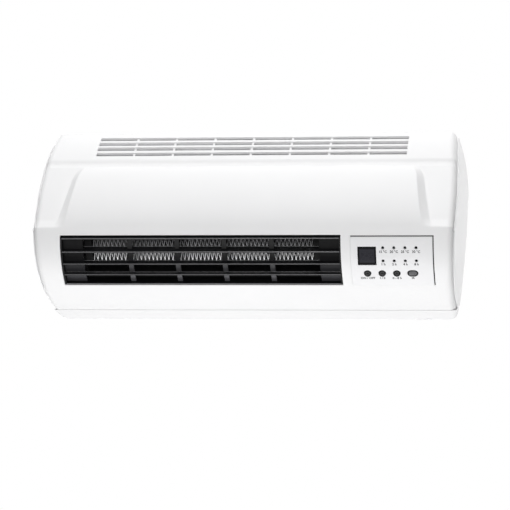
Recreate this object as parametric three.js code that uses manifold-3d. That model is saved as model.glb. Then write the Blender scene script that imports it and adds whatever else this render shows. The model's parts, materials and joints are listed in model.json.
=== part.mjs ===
// Bathroom wall fan heater, as an assembly of separate pieces. Lengths are in millimetres.
// X runs along the heater (to the right as seen from the front), Y points into the wall and Z up.
// The wall is the plane Y = 0. Outlines are written as (depth, height), where depth is -Y.

import * as THREE from "three";
import { mergeVertices } from "three/addons/utils/BufferGeometryUtils.js";
import Module from "manifold-3d";

const wasm = await Module();
wasm.setup();

// ---------------------------------------------------------------- driving dimensions

// Casing
const BODY_WIDTH = 442.8; // between the two end seams, where the heater is widest
const WIDEST_HEIGHT = 38; // the ends draw in above and below this height
const END_DRAW = 5.4; // how far each end has drawn in at the top and at the base
const TOP_DRAW_POWER = 2; // 1 would be a straight taper, 2 is a parabola
const BASE_DRAW_POWER = 1.2;
const WALL = 2.5; // moulded walls
const GAP = 0.3; // between separate pieces
const SEAM = 0.8; // open line round each end cap
const EDGE_ROLL = 6; // radius that rolls the front shell over at its ends
const EDGE_LAND = 0.3; // straight rim after the roll
const CAP_LAND = 1; // straight rim of an end cap before it domes
const CAP_BULGE = 5.3; // how far an end cap domes out
const CAP_CENTRE_HEIGHT = 35; // height of the dome's highest point
const CAP_SPIGOT = 9; // rim of an end cap inside the shell

// Side profile, from the top of the wall face forward and down
const TOP_HEIGHT = 99.8;
const CREASE_DEPTH = 48.8;
const CREASE_HEIGHT = 74.6;
const LEDGE_DEPTH = 108.4;
const LEDGE_HEIGHT = 15.2;
const LEDGE_STEP = 8.4;
const LEDGE_DROP = 6.6;
const CHIN_DEPTH = 42;
const CHIN_HEIGHT = -86.3;
const BASE_DEPTH = 5.4;
const BASE_HEIGHT = -100.6;
const BAND_BOW = 2.5; // how far the top band bows outward
const RECESS_BOW = 1.8; // how far the side recess floor bows outward
const BELLY_LEAN = 7.2; // handle of the belly curve at the ledge: outward
const BELLY_FALL = 30.6; // and down
const CHIN_REACH = 68; // handle of the belly curve at the chin: outward
const CHIN_RISE = 26.3; // and up

// Hood raised from the middle of the shell
const HOOD_TOP_HEIGHT = 68;
const HOOD_TOP_MARGIN = 42.8; // from the end seam to the hood's upper corner
const HOOD_BOTTOM_MARGIN = 33; // and to its lower corner
const HOOD_REACH = 23; // handle of the hood curve at its top: outward
const HOOD_FALL = 1.5; // and down
const HOOD_LEAN = 4; // handle of the hood curve at the ledge: inward
const HOOD_RISE = 19.4; // and up
const FLANK_TOP = 7; // width of the sloped flank at the top
const FLANK_BOTTOM = 10.3;

// Air inlet in the top band
const INLET_MARGIN = 53.4; // from the end seam to the first slot
const INLET_COLUMNS = 8;
const INLET_ROWS = 4;
const INLET_RIB = 2.4; // bar between two slots of one row
const INLET_RIB_RECESS = 0.8; // how far those bars lie below the band
const SLOT_WIDTH = 6.4; // across the band
const SLOT_PITCH = 10.5;
const INLET_SETBACK = 10.5; // from the wall to the middle of the first row, along the band

// Outlet grille and control plate in the belly
const FACE_TOP = -0.4; // height of the upper edge of both
const FACE_BOTTOM = -54.6;
const OUTLET_MARGIN = 29.1; // from the left end seam
const PLATE_MARGIN = 20.8; // from the right end seam
const PLATE_WIDTH = 86.6;
const FACE_BAR = 9.9; // shell left between outlet and plate
const GRILLE_DEPTH = 15; // of the slats, from their front edges
const GRILLE_RIM = 1.6;
const SLAT_COUNT = 4;
const SLAT_THICKNESS = 1.5;
const SLAT_FIRST = 3.2; // from the upper edge to the first slat
const SLAT_PITCH = 13.6;
const SLAT_INSET = 0.6; // slat edges behind the belly surface
const BLANK_WIDTH = 23; // closed ends of the grille
const BLANK_INSET = 7;
const BLANK_THICKNESS = 2;
const RIB_COUNT = 4;
const RIB_WIDTH = 5.3;
const RIB_THICKNESS = 3;

// Fan
const FAN_RADIUS = 31;
const FAN_HEIGHT = 30;
const FAN_CLEARANCE = 6; // wheel to scroll where they are closest
const FAN_END_CLEARANCE = 5; // wheel to the end walls
const SCROLL_STANDOFF = 9; // scroll to the rear housing
const SCROLL_GROWTH = 12; // how much the scroll opens up
const SCROLL_START = 125; // degrees round the wheel, from the front
const SCROLL_OPENS = 180;
const SCROLL_END = 240;
const DUCT_FLOOR_RISE = 3; // straight floor above the outlet's lower edge
const DUCT_FLOOR_LENGTH = 16;
const TONGUE_LENGTH = 14; // straight part of the tongue
const TONGUE_FROM = -33; // degrees round the wheel
const TONGUE_TO = -12;
const SCROLL_RIB_HEIGHT = 46;
const SCROLL_RIB_DROP = 7; // middle of the ribs below the wheel's axis
const SCROLL_RIB_INSET = 30; // first rib from the duct's left end
const DUCT_WALL = 2;
const DUCT_CHIN_MARGIN = 4; // duct end walls above the chin
const DUCT_TOP_MARGIN = 4; // and below the hood's upper edge
const BLADE_COUNT = 20;
const BLADE_THICKNESS = 1.3;
const BLADE_LENGTH = 9;
const DISC_THICKNESS = 2.2;
const DISC_COUNT = 4;
const DISC_RING = 4; // inside the blades, of the discs between the ends
const SHAFT_RADIUS = 3;
const BUSH_RADIUS = 5;
const BUSH_MOUNT_RADIUS = 10;
const MOTOR_RADIUS = 25;
const MOTOR_LENGTH = 32;
const MOTOR_BRACKET = 50;

// Heating element
const ELEMENT_HEIGHT = 31;
const ELEMENT_THICKNESS = 12;
const ELEMENT_SETBACK = 5; // behind the grille
const ELEMENT_DROP = 8; // from the upper edge of the outlet
const HOLDER_WIDTH = 7;
const RAIL_THICKNESS = 1.6;
const CERAMIC_THICKNESS = 2.6;
const FIN_PITCH = 4.4;
const FIN_THICKNESS = 0.45;
const TERMINAL_WIDTH = 6.3;
const TERMINAL_THICKNESS = 0.8;
const TERMINAL_LENGTH = 11.7;
const TERMINAL_OFFSET = 7; // above and below the ceramic bar
const CUTOUT_RADIUS = 8;
const CUTOUT_THICKNESS = 7;

// Controls
const PLATE_THICKNESS = 2.2;
const DISPLAY_WIDTH = 19.4;
const DISPLAY_HEIGHT = 20.6;
const DISPLAY_X = 17.1; // from the plate's left edge to the display's middle
const DISPLAY_V = 8.3; // display middle above the plate's middle
const PANE_THICKNESS = 1.5;
const LED_RADIUS = 1.5;
const LED_X = 33.8; // first column from the plate's left edge
const LED_PITCH = 11.5;
const LED_UPPER_V = 17.3;
const LED_LOWER_V = 3.2;
const LED_INSET = 0.4; // below the plate's surface
const BUTTON_RADIUS = 3.7;
const BUTTON_X = 16.8; // first button from the plate's left edge
const BUTTON_PITCH = 15.2;
const BUTTON_V = -12.2;
const BUTTON_FLANGE = 1.2;
const BUTTON_PROUD = 0.8;
const BUTTON_TRAVEL = 1.2;
const BUTTON_STEM_RADIUS = 1.6;
const SWITCH_SIZE = 6;
const SWITCH_HEIGHT = 3.5;
const RECEIVER_X = 63.8;
const RECEIVER_WIDTH = 11.1;
const RECEIVER_HEIGHT = 7.6;
const RECEIVER_LIP = 0.5; // behind the plate
const RECEIVER_PROUD = 0.2;
const BOARD_THICKNESS = 1.6;
const BOARD_SETBACK = 7; // behind the chord of the plate
const BOARD_MARGIN = 3;
const BOARD_POST_RADIUS = 2.5;
const BOARD_POST_INSET = 7;

// Back
const BRACKET_WIDTH = 140;
const BRACKET_HEIGHT = 64;
const BRACKET_THICKNESS = 1.6;
const BRACKET_HOLE_RADIUS = 2.5;
const BRACKET_HOLE_INSET = 10;
const POCKET_DEPTH = 4.2;
const POCKET_MARGIN = 4;
const HOOK_WIDTH = 18;
const HOOK_X = 45;
const HOOK_HEIGHT = 12;
const HOOK_RISE = 8;
const POST_MARGIN = 17; // from the end seam to a screw post
const POST_HEIGHT = 60;
const POST_RADIUS = 4.5;
const SCREW_RADIUS = 1.5;
const SCREW_LENGTH = 14;
const HEAD_RADIUS = 3.6;
const HEAD_THICKNESS = 1.8;
const CORD_CHANNEL_MARGIN = 41.4;
const CORD_CHANNEL_WIDTH = 14;
const CORD_CHANNEL_DEPTH = 7;
const CORD_WELL_HEIGHT = 14;
const GLAND_RADIUS = 5.4;
const GLAND_BORE = 2.6;
const GLAND_LIP = 1.2;
const GLAND_STEM = 3; // of the gland above the well

// Power electronics
const POWER_BOARD_WIDTH = 68;
const POWER_BOARD_HEIGHT = 118;
const POWER_BOARD_STANDOFF = 11;
const POWER_BOARD_CLEARANCE = 3; // to the gland below and the case posts beside it
const STANDOFF_INSET = 6;
const STANDOFF_RADIUS = 3.5;
const RELAY_WIDTH = 19;
const RELAY_HEIGHT = 15;
const RELAY_PITCH = 22;
const RELAY_LEFT = 8;
const RELAY_LOW = 60;
const CAPACITOR_RADIUS = 8;
const CAPACITOR_LENGTH = 26;
const CAPACITOR_X = 52;
const CAPACITOR_Z = 84;
const TERMINAL_BLOCK_WIDTH = 36;
const TERMINAL_BLOCK_HEIGHT = 14;
const TERMINAL_BLOCK_DEPTH = 16;
const TERMINAL_BLOCK_X = 14;
const TERMINAL_BLOCK_Z = 6;
const TERMINAL_SCREWS = 3;

// Inlet filter
const FILTER_OVERLAP = 6; // past the slots at each end
const FILTER_BACK_MARGIN = 5; // from the wall
const FILTER_FRONT_MARGIN = 3; // from the crease
const FILTER_THICKNESS = 1.8;
const FILTER_RIM = 5;
const FILTER_BAYS = 4;
const MESH_THICKNESS = 0.6;

// ---------------------------------------------------------------- helpers

const HALF = BODY_WIDTH / 2;
const v2 = (depth, height) => new THREE.Vector2(depth, height);

// A closed geometry as a solid, facing out whatever the order its faces were listed in.
function solidOf(geometry) {
  const bare = geometry.clone();
  bare.deleteAttribute("normal");
  bare.deleteAttribute("uv");
  const merged = mergeVertices(bare, 1e-4);
  const build = (triVerts) =>
    new wasm.Manifold(
      new wasm.Mesh({ numProp: 3, vertProperties: merged.attributes.position.array, triVerts }),
    );
  const order = new Uint32Array(merged.index.array);
  const made = build(order);
  return made.volume() < 0 ? build(order.reverse()) : made;
}

function geometryOf(solid) {
  const mesh = solid.getMesh();
  const positions = new Float32Array(mesh.numVert * 3);
  for (let i = 0; i < mesh.numVert; i++) {
    positions.set(mesh.vertProperties.subarray(i * mesh.numProp, i * mesh.numProp + 3), i * 3);
  }
  const geometry = new THREE.BufferGeometry();
  geometry.setAttribute("position", new THREE.BufferAttribute(positions, 3));
  geometry.setIndex(new THREE.BufferAttribute(mesh.triVerts, 1));
  geometry.computeVertexNormals();
  return geometry;
}

const join = (...solids) => solids.reduce((a, b) => a.add(b));
const cut = (solid, ...tools) => tools.reduce((a, b) => a.subtract(b), solid);

// Extrudes a (depth, height) outline along X from x0 to x1.
const ALONG_X = new THREE.Matrix4().set(0, 0, -1, 0, -1, 0, 0, 0, 0, 1, 0, 0, 0, 0, 0, 1);
function prism(outline, x0, x1) {
  const shape = new THREE.Shape(outline);
  const geometry = new THREE.ExtrudeGeometry(shape, { depth: x1 - x0, bevelEnabled: false });
  return solidOf(geometry.applyMatrix4(ALONG_X).translate(x1, 0, 0));
}

function block(x0, x1, d0, d1, z0, z1) {
  const geometry = new THREE.BoxGeometry(x1 - x0, d1 - d0, z1 - z0);
  return solidOf(geometry.translate((x0 + x1) / 2, -(d0 + d1) / 2, (z0 + z1) / 2));
}

// A round rod along X, about the point (depth, height).
function rodX(x0, x1, depth, height, radius, sides = 24) {
  const geometry = new THREE.CylinderGeometry(radius, radius, x1 - x0, sides);
  return solidOf(geometry.rotateZ(Math.PI / 2).translate((x0 + x1) / 2, -depth, height));
}

// A round rod along the depth direction.
function rodY(x, d0, d1, height, radius, sides = 16) {
  const geometry = new THREE.CylinderGeometry(radius, radius, d1 - d0, sides);
  return solidOf(geometry.translate(x, -(d0 + d1) / 2, height));
}

// A round rod along Z.
function rodZ(x, depth, z0, z1, radius, sides = 16) {
  const geometry = new THREE.CylinderGeometry(radius, radius, z1 - z0, sides);
  return solidOf(geometry.rotateX(Math.PI / 2).translate(x, -depth, (z0 + z1) / 2));
}

// Joins rings of equal point count into one closed surface.
function loft(rings) {
  const count = rings[0].length;
  const positions = rings.flat().flatMap((p) => [p.x, p.y, p.z]);
  const faces = [];
  for (let r = 0; r + 1 < rings.length; r++) {
    for (let i = 0; i < count; i++) {
      const a = r * count + i;
      const b = r * count + ((i + 1) % count);
      faces.push(a, b, b + count, a, b + count, a + count);
    }
  }
  const flat = (ring) => ring.map((p) => v2(-p.y, p.z));
  const wound = (ring) => THREE.ShapeUtils.area(flat(ring)) > 0;
  for (const r of [0, rings.length - 1]) {
    const turned = wound(rings[r]) === (r === 0);
    for (const [a, b, c] of THREE.ShapeUtils.triangulateShape(flat(rings[r]), [])) {
      const face = turned ? [a, c, b] : [a, b, c];
      faces.push(...face.map((i) => r * count + i));
    }
  }
  const geometry = new THREE.BufferGeometry();
  geometry.setAttribute("position", new THREE.Float32BufferAttribute(positions, 3));
  geometry.setIndex(faces);
  return solidOf(geometry);
}

// Moves an open outline sideways by a distance, to its right as it runs.
function offsetLine(points, distance) {
  return points.map((p, i) => {
    const before = points[Math.max(i - 1, 0)];
    const after = points[Math.min(i + 1, points.length - 1)];
    const a = i === 0 ? after.clone().sub(p).normalize() : p.clone().sub(before).normalize();
    const b = i === points.length - 1 ? a : after.clone().sub(p).normalize();
    const normalA = v2(a.y, -a.x);
    const normalB = v2(b.y, -b.x);
    const normal = normalA.clone().add(normalB).normalize();
    return p.clone().addScaledVector(normal, distance / normal.dot(normalA));
  });
}

// A strip of even thickness on the right of an open line, as a closed outline.
const strip = (points, thickness) => [...points, ...offsetLine(points, thickness).reverse()];

function bowed(from, to, bow, steps) {
  const along = to.clone().sub(from).normalize();
  const middle = from.clone().add(to).multiplyScalar(0.5);
  const control = middle.add(v2(-along.y, along.x).multiplyScalar(2 * bow));
  return new THREE.QuadraticBezierCurve(from, control, to).getPoints(steps);
}

// ---------------------------------------------------------------- side profile

const CREASE = v2(CREASE_DEPTH, CREASE_HEIGHT);
const LEDGE = v2(LEDGE_DEPTH, LEDGE_HEIGHT);
const BELLY = v2(LEDGE_DEPTH + LEDGE_STEP, LEDGE_HEIGHT - LEDGE_DROP);
const CHIN = v2(CHIN_DEPTH, CHIN_HEIGHT);

const bandLine = bowed(v2(0, TOP_HEIGHT), CREASE, BAND_BOW, 5);
const recessLine = bowed(CREASE, LEDGE, RECESS_BOW, 5);

// The belly leaves the ledge almost upright and runs under to the chin.
const bellyCurve = new THREE.CubicBezierCurve(
  BELLY,
  v2(BELLY.x + BELLY_LEAN, BELLY.y - BELLY_FALL),
  v2(CHIN.x + CHIN_REACH, CHIN.y + CHIN_RISE),
  CHIN,
);
const bellyLine = bellyCurve.getPoints(12);

const recessSlope = (LEDGE_DEPTH - CREASE_DEPTH) / (CREASE_HEIGHT - LEDGE_HEIGHT);
const hoodStart = v2(CREASE_DEPTH + (CREASE_HEIGHT - HOOD_TOP_HEIGHT) * recessSlope, HOOD_TOP_HEIGHT);
const hoodCurve = new THREE.CubicBezierCurve(
  hoodStart,
  v2(hoodStart.x + HOOD_REACH, hoodStart.y - HOOD_FALL),
  v2(BELLY.x - HOOD_LEAN, BELLY.y + HOOD_RISE),
  BELLY,
);
const hoodLine = hoodCurve.getPoints(9);

const sideLine = [...bandLine, ...recessLine.slice(1), ...bellyLine];
const middleLine = [...bandLine, hoodStart, ...hoodLine.slice(1), ...bellyLine.slice(1)];

// The belly's depth at a height.
function bellyDepth(height) {
  const after = bellyLine.findIndex((p) => p.y <= height);
  const [a, b] = [bellyLine[after - 1], bellyLine[after]];
  return a.x + ((b.x - a.x) * (height - a.y)) / (b.y - a.y);
}

// How far the ends have drawn in at a height.
function endDraw(height) {
  return height > WIDEST_HEIGHT
    ? END_DRAW * ((height - WIDEST_HEIGHT) / (TOP_HEIGHT - WIDEST_HEIGHT)) ** TOP_DRAW_POWER
    : END_DRAW * ((WIDEST_HEIGHT - height) / (WIDEST_HEIGHT - BASE_HEIGHT)) ** BASE_DRAW_POWER;
}

// Everything between two ends that draw in, right through the heater from front to back.
function barrel(half) {
  const steps = 24;
  const margin = 20;
  const low = BASE_HEIGHT - margin;
  const high = TOP_HEIGHT + margin;
  const heights = Array.from({ length: steps + 1 }, (_, i) => low + ((high - low) * i) / steps);
  const right = heights.map((z) => v2(half - endDraw(z), z));
  const left = heights.map((z) => v2(endDraw(z) - half, z)).reverse();
  const depth = LEDGE_DEPTH + LEDGE_STEP + 2 * margin;
  const shape = new THREE.Shape([...right, ...left]);
  const geometry = new THREE.ExtrudeGeometry(shape, { depth, bevelEnabled: false });
  return solidOf(geometry.rotateX(Math.PI / 2).translate(0, margin, 0));
}

// The closed outline of a profile moved inwards, from the wall round to the chin.
function closedProfile(line, inset, wallDepth, chinHeight) {
  const moved = offsetLine(line, inset);
  const first = Math.max(1, moved.findIndex((p) => p.x > wallDepth));
  const under = moved.findIndex((p) => p.y < chinHeight);
  const last = under < 0 ? moved.length - 1 : under;
  const [a, b, c, d] = [moved[first - 1], moved[first], moved[last - 1], moved[last]];
  const start = a.clone().lerp(b, (wallDepth - a.x) / (b.x - a.x));
  const end = c.clone().lerp(d, (chinHeight - c.y) / (d.y - c.y));
  return [start, ...moved.slice(first, last), end, v2(wallDepth, chinHeight)];
}

// An outline at one end, drawn in with the end.
const ringAt = (outline, x) =>
  outline.map((p) => new THREE.Vector3(x - Math.sign(x) * endDraw(p.y), -p.x, p.y));

// The shell's solid body, moved inwards by an inset and run straight on past its two ends.
function bodySolid(line, inset, wallDepth, chinHeight) {
  const stations = [0, 30, 60, 90].map((degrees) => {
    const angle = THREE.MathUtils.degToRad(degrees);
    const roll = EDGE_ROLL * (1 - Math.cos(angle));
    return [HALF - EDGE_LAND - EDGE_ROLL * (1 - Math.sin(angle)), roll];
  });
  stations.push([HALF + CAP_SPIGOT, EDGE_ROLL]);
  const ring = (x, roll) => ringAt(closedProfile(line, inset + roll, wallDepth, chinHeight), x);
  const right = stations.map(([x, roll]) => ring(x, roll));
  const left = stations.map(([x, roll]) => ring(-x, roll)).reverse();
  return loft([...left, ...right]);
}

// The hood between its two flanks, moved inwards by an inset.
function hoodSolid(inset) {
  const edge = offsetLine(hoodLine, inset);
  const fall = HOOD_TOP_HEIGHT - BELLY.y;
  const rings = edge.map((p) => {
    const share = THREE.MathUtils.clamp((HOOD_TOP_HEIGHT - p.y) / fall, 0, 1);
    const crest = HALF - THREE.MathUtils.lerp(HOOD_TOP_MARGIN, HOOD_BOTTOM_MARGIN, share) - inset;
    const foot = crest + THREE.MathUtils.lerp(FLANK_TOP, FLANK_BOTTOM, share);
    const floorDepth = (p.x + hoodStart.x + hoodStart.y - p.y) / 2;
    const rise = p.x - floorDepth;
    const back = p.clone().sub(v2(rise + 4, rise + 4));
    return [
      new THREE.Vector3(-crest, -p.x, p.y),
      new THREE.Vector3(crest, -p.x, p.y),
      new THREE.Vector3(foot, -back.x, back.y),
      new THREE.Vector3(-foot, -back.x, back.y),
    ];
  });
  return hoodLoft(rings);
}

// Rings of four points, each in a plane that leans with the hood.
function hoodLoft(rings) {
  const pieces = [];
  for (let i = 0; i + 1 < rings.length; i++) {
    const corners = [...rings[i], ...rings[i + 1]];
    pieces.push(hull8(corners));
  }
  return join(...pieces);
}

// A closed box-like solid on eight corners: one ring of four and the ring after it.
function hull8(c) {
  const geometry = new THREE.BufferGeometry();
  geometry.setAttribute(
    "position",
    new THREE.Float32BufferAttribute(c.flatMap((p) => [p.x, p.y, p.z]), 3),
  );
  const faces = [0, 1, 2, 0, 2, 3, 4, 6, 5, 4, 7, 6];
  for (let i = 0; i < 4; i++) {
    const j = (i + 1) % 4;
    faces.push(i, i + 4, j + 4, i, j + 4, j);
  }
  geometry.setIndex(faces);
  return solidOf(geometry);
}

// The space inside the shell, less a clearance.
const cavity = (clearance) =>
  join(
    bodySolid(sideLine, WALL + clearance, -2 * WALL, CHIN_HEIGHT - 2 * WALL),
    hoodSolid(WALL + clearance),
  );

// ---------------------------------------------------------------- tilted frame of the belly face

const faceTop = v2(bellyDepth(FACE_TOP), FACE_TOP);
const faceBottom = v2(bellyDepth(FACE_BOTTOM), FACE_BOTTOM);
const faceMiddle = faceTop.clone().add(faceBottom).multiplyScalar(0.5);
const faceHeight = faceTop.distanceTo(faceBottom);
const faceUp = faceTop.clone().sub(faceBottom).normalize();
const faceOut = v2(faceUp.y, -faceUp.x);
const OUTLET_LEFT = -HALF + OUTLET_MARGIN;
const OUTLET_RIGHT = HALF - PLATE_MARGIN - PLATE_WIDTH - FACE_BAR;
const PLATE_LEFT = HALF - PLATE_MARGIN - PLATE_WIDTH;
const PLATE_RIGHT = HALF - PLATE_MARGIN;

// A point of the profile as (outward, up) from the face's middle, and back.
const toFace = (p) => {
  const away = p.clone().sub(faceMiddle);
  return v2(away.dot(faceOut), away.dot(faceUp));
};
const fromFace = (out, up) =>
  faceMiddle.clone().addScaledVector(faceOut, out).addScaledVector(faceUp, up);

// How far the belly stands out from the face's chord at a place up the face.
const bellyInFace = bellyLine.map(toFace);
function bulgeAt(up) {
  const after = bellyInFace.findIndex((p) => p.y <= up);
  const [a, b] = [bellyInFace[after - 1], bellyInFace[after]];
  return a.x + ((b.x - a.x) * (up - a.y)) / (b.y - a.y);
}

// A prism whose outline is given as (outward, up) in the face's frame.
const facePrism = (outline, x0, x1) => prism(outline.map((p) => fromFace(p.x, p.y)), x0, x1);

function faceBlock(x0, x1, out0, out1, up0, up1) {
  return facePrism([v2(out0, up0), v2(out1, up0), v2(out1, up1), v2(out0, up1)], x0, x1);
}

// A round rod that points out of the face.
function faceRod(x, up, out0, out1, radius, sides = 16) {
  const geometry = new THREE.CylinderGeometry(radius, radius, out1 - out0, sides);
  return solidOf(geometry.translate(x, (out0 + out1) / 2, up).applyMatrix4(facePlace));
}

// Places shapes drawn in the face frame: X along the heater, Y out of the face, Z up it.
const facePlace = new THREE.Matrix4().makeBasis(
  new THREE.Vector3(1, 0, 0),
  new THREE.Vector3(0, -faceOut.x, faceOut.y),
  new THREE.Vector3(0, -faceUp.x, faceUp.y),
);
facePlace.setPosition(0, -faceMiddle.x, faceMiddle.y);

// A strip that follows the belly, between two distances under its surface.
function bellySkin(x0, x1, under0, under1, upLow, upHigh) {
  const steps = 8;
  const ups = Array.from({ length: steps + 1 }, (_, i) => upHigh + ((upLow - upHigh) * i) / steps);
  const outer = ups.map((up) => v2(bulgeAt(up) - under0, up));
  const inner = ups.map((up) => v2(bulgeAt(up) - under1, up)).reverse();
  return facePrism([...outer, ...inner], x0, x1);
}

// ---------------------------------------------------------------- casing

function frontShell() {
  const body = bodySolid(sideLine, 0, 0, CHIN_HEIGHT).intersect(barrel(HALF));
  const outer = join(body, hoodSolid(0));
  const reach = 2 * GRILLE_DEPTH;
  const low = -faceHeight / 2;
  const high = faceHeight / 2;
  const outletHole = faceBlock(OUTLET_LEFT, OUTLET_RIGHT, -reach, reach, low, high);
  const plateHole = faceBlock(PLATE_LEFT, PLATE_RIGHT, -reach, reach, low, high);
  const shell = cut(outer, cavity(0), outletHole, plateHole, ...inletSlots());
  return join(shell, ...screwPosts());
}

// Hollow posts inside the shell that the case screws go into from behind.
function screwPosts() {
  const inside = bodySolid(sideLine, WALL / 2, 0, CHIN_HEIGHT);
  return postPlaces().map(([x, z]) => {
    const post = rodY(x, BACK_BOSS + GAP, LEDGE_DEPTH, z, POST_RADIUS, 14).intersect(inside);
    return cut(post, rodY(x, 0, BACK_BOSS + SCREW_LENGTH + 1, z, SCREW_RADIUS + GAP, 12));
  });
}

// Four rows of slots that pass square through the top band, each in a shallow groove.
function inletSlots() {
  const left = -HALF + INLET_MARGIN;
  const pitch = (BODY_WIDTH - 2 * INLET_MARGIN) / INLET_COLUMNS;
  const start = v2(0, TOP_HEIGHT);
  const length = start.distanceTo(CREASE);
  const along = CREASE.clone().sub(start).normalize();
  const normal = v2(-along.y, along.x);
  const above = 4 * BAND_BOW;
  const slots = [];
  for (let row = 0; row < INLET_ROWS; row++) {
    const place = INLET_SETBACK + row * SLOT_PITCH;
    const middle = start.clone().addScaledVector(along, place);
    const surface = (4 * BAND_BOW * place * (length - place)) / length ** 2;
    const corner = (side, height) =>
      middle.clone().addScaledVector(along, (side * SLOT_WIDTH) / 2).addScaledVector(normal, height);
    const outline = (low) => [corner(-1, low), corner(1, low), corner(1, above), corner(-1, above)];
    const from = left + INLET_RIB / 2;
    const to = left + INLET_COLUMNS * pitch - INLET_RIB / 2;
    slots.push(prism(outline(surface - INLET_RIB_RECESS), from, to));
    for (let column = 0; column < INLET_COLUMNS; column++) {
      const x0 = from + column * pitch;
      slots.push(prism(outline(-2 * WALL), x0, x0 + pitch - INLET_RIB));
    }
  }
  return slots;
}

const BACK_BOSS = HEAD_THICKNESS + GAP + WALL; // front of the boss round a case screw
function postPlaces() {
  const x = HALF - POST_MARGIN;
  return [
    [-x, POST_HEIGHT],
    [x, POST_HEIGHT],
    [-x, -POST_HEIGHT],
    [x, -POST_HEIGHT],
  ];
}

// A domed cover that closes one end. side is 1 on the right and -1 on the left.
function endCap(side) {
  const rim = HALF - CAP_SPIGOT;
  const hollow = capDome(side, WALL, rim - 1);
  const cover = cut(capDome(side, 0, rim), hollow, barrel(HALF + SEAM));
  const spigot = cut(capPlug(side, 0, rim), capPlug(side, WALL, rim - 1));
  return join(cover, spigot.intersect(capDome(side, WALL / 2, rim - 2)));
}

// The dome of an end cap, moved inwards by an inset and run back to a place inside the casing.
function capDome(side, inset, from) {
  const outline = closedProfile(sideLine, EDGE_ROLL + inset, inset, CHIN_HEIGHT + inset);
  const centre = v2(inset, CAP_CENTRE_HEIGHT);
  const foot = HALF + SEAM + CAP_LAND;
  const rings = [1, 0.93, 0.84, 0.73, 0.6, 0.44, 0.24].map((share) => {
    const ring = outline.map((p) => p.clone().sub(centre).multiplyScalar(share).add(centre));
    return ringAt(ring, side * (foot + (CAP_BULGE - inset) * (1 - share ** 2)));
  });
  rings.unshift(ringAt(outline, side * from));
  return loft(side > 0 ? rings : rings.reverse());
}

// What an end cap pushes into the end of the shell.
function capPlug(side, extra, from) {
  const inset = WALL + EDGE_ROLL + GAP + extra;
  const back = WALL + GAP + extra;
  const outline = closedProfile(sideLine, inset, back, CHIN_HEIGHT + back);
  const to = HALF + SEAM + CAP_LAND + CAP_BULGE;
  return prism(outline, Math.min(side * from, side * to), Math.max(side * from, side * to));
}

function rearHousing() {
  const plate = block(-HALF, HALF, 0, WALL, CHIN_HEIGHT - 2 * WALL, TOP_HEIGHT);
  const back = plate.intersect(cavity(2 * GAP)).intersect(barrel(HALF));
  const lip = cut(lipBody(0), lipBody(WALL));
  const pocket = pocketBox(WALL, 0, POCKET_DEPTH + WALL);
  const bosses = postPlaces().map(([x, z]) => rodY(x, 0, BACK_BOSS, z, HEAD_RADIUS + GAP + WALL));
  const counterbores = postPlaces().map(([x, z]) =>
    rodY(x, -1, HEAD_THICKNESS + GAP, z, HEAD_RADIUS + GAP),
  );
  const screwHoles = postPlaces().map(([x, z]) => rodY(x, -1, BACK_BOSS + 1, z, SCREW_RADIUS + GAP));
  const body = join(back, lip, pocket, cordWell(WALL), ...bosses, ...scrollRibs(), ...standoffs());
  return cut(
    body,
    pocketBox(0, -1, POCKET_DEPTH),
    ...hookSlots(),
    ...counterbores,
    ...screwHoles,
    cordWell(0),
    rodZ(CORD_X, GLAND_DEPTH, wellTop - 1, wellTop + WALL + 1, GLAND_RADIUS + GAP),
  );
}

// The strip under the front seam, whose front corners are rounded off.
function lipBody(inset) {
  const slope = v2(CHIN_DEPTH - BASE_DEPTH, CHIN_HEIGHT - BASE_HEIGHT).normalize();
  const open = inset > 0 ? 4 : -GAP - 0.4;
  const ring = (x, roll) => {
    const shift = (inset + roll) / slope.y;
    const top = CHIN_HEIGHT + open;
    const low = BASE_HEIGHT + inset;
    const depthAt = (z) => CHIN_DEPTH + ((z - CHIN_HEIGHT) * slope.x) / slope.y - shift;
    const foot = Math.max(depthAt(low), inset + 0.6);
    const outline = [v2(inset, top), v2(depthAt(top), top), v2(foot, low), v2(inset, low)];
    return ringAt(outline, x);
  };
  const end = HALF + SEAM - inset;
  const rolls = [
    [end, 2],
    [end - 1.2, 0.7],
    [end - 4, 0],
  ];
  const left = rolls.map(([x, roll]) => ring(-x, roll));
  const right = rolls.map(([x, roll]) => ring(x, roll)).reverse();
  return loft([...left, ...right]);
}

const pocketBox = (margin, back, front) =>
  block(
    -BRACKET_WIDTH / 2 - POCKET_MARGIN - margin,
    BRACKET_WIDTH / 2 + POCKET_MARGIN + margin,
    back,
    front,
    -BRACKET_HEIGHT / 2 - POCKET_MARGIN - margin,
    BRACKET_HEIGHT / 2 + POCKET_MARGIN + margin,
  );

const hookSlots = () =>
  [-HOOK_X, HOOK_X].map((x) =>
    block(
      x - HOOK_WIDTH / 2 - 1,
      x + HOOK_WIDTH / 2 + 1,
      POCKET_DEPTH - 1,
      POCKET_DEPTH + WALL + 1,
      HOOK_HEIGHT - HOOK_RISE - 1,
      HOOK_HEIGHT + BRACKET_THICKNESS + GAP,
    ),
  );

// The well above the cord channel is as deep as the cord gland needs.
const GLAND_DEPTH = WALL + 2 * GAP + GLAND_RADIUS + GLAND_LIP;
const CORD_WELL_DEPTH = 2 * GLAND_DEPTH - WALL;

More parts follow.
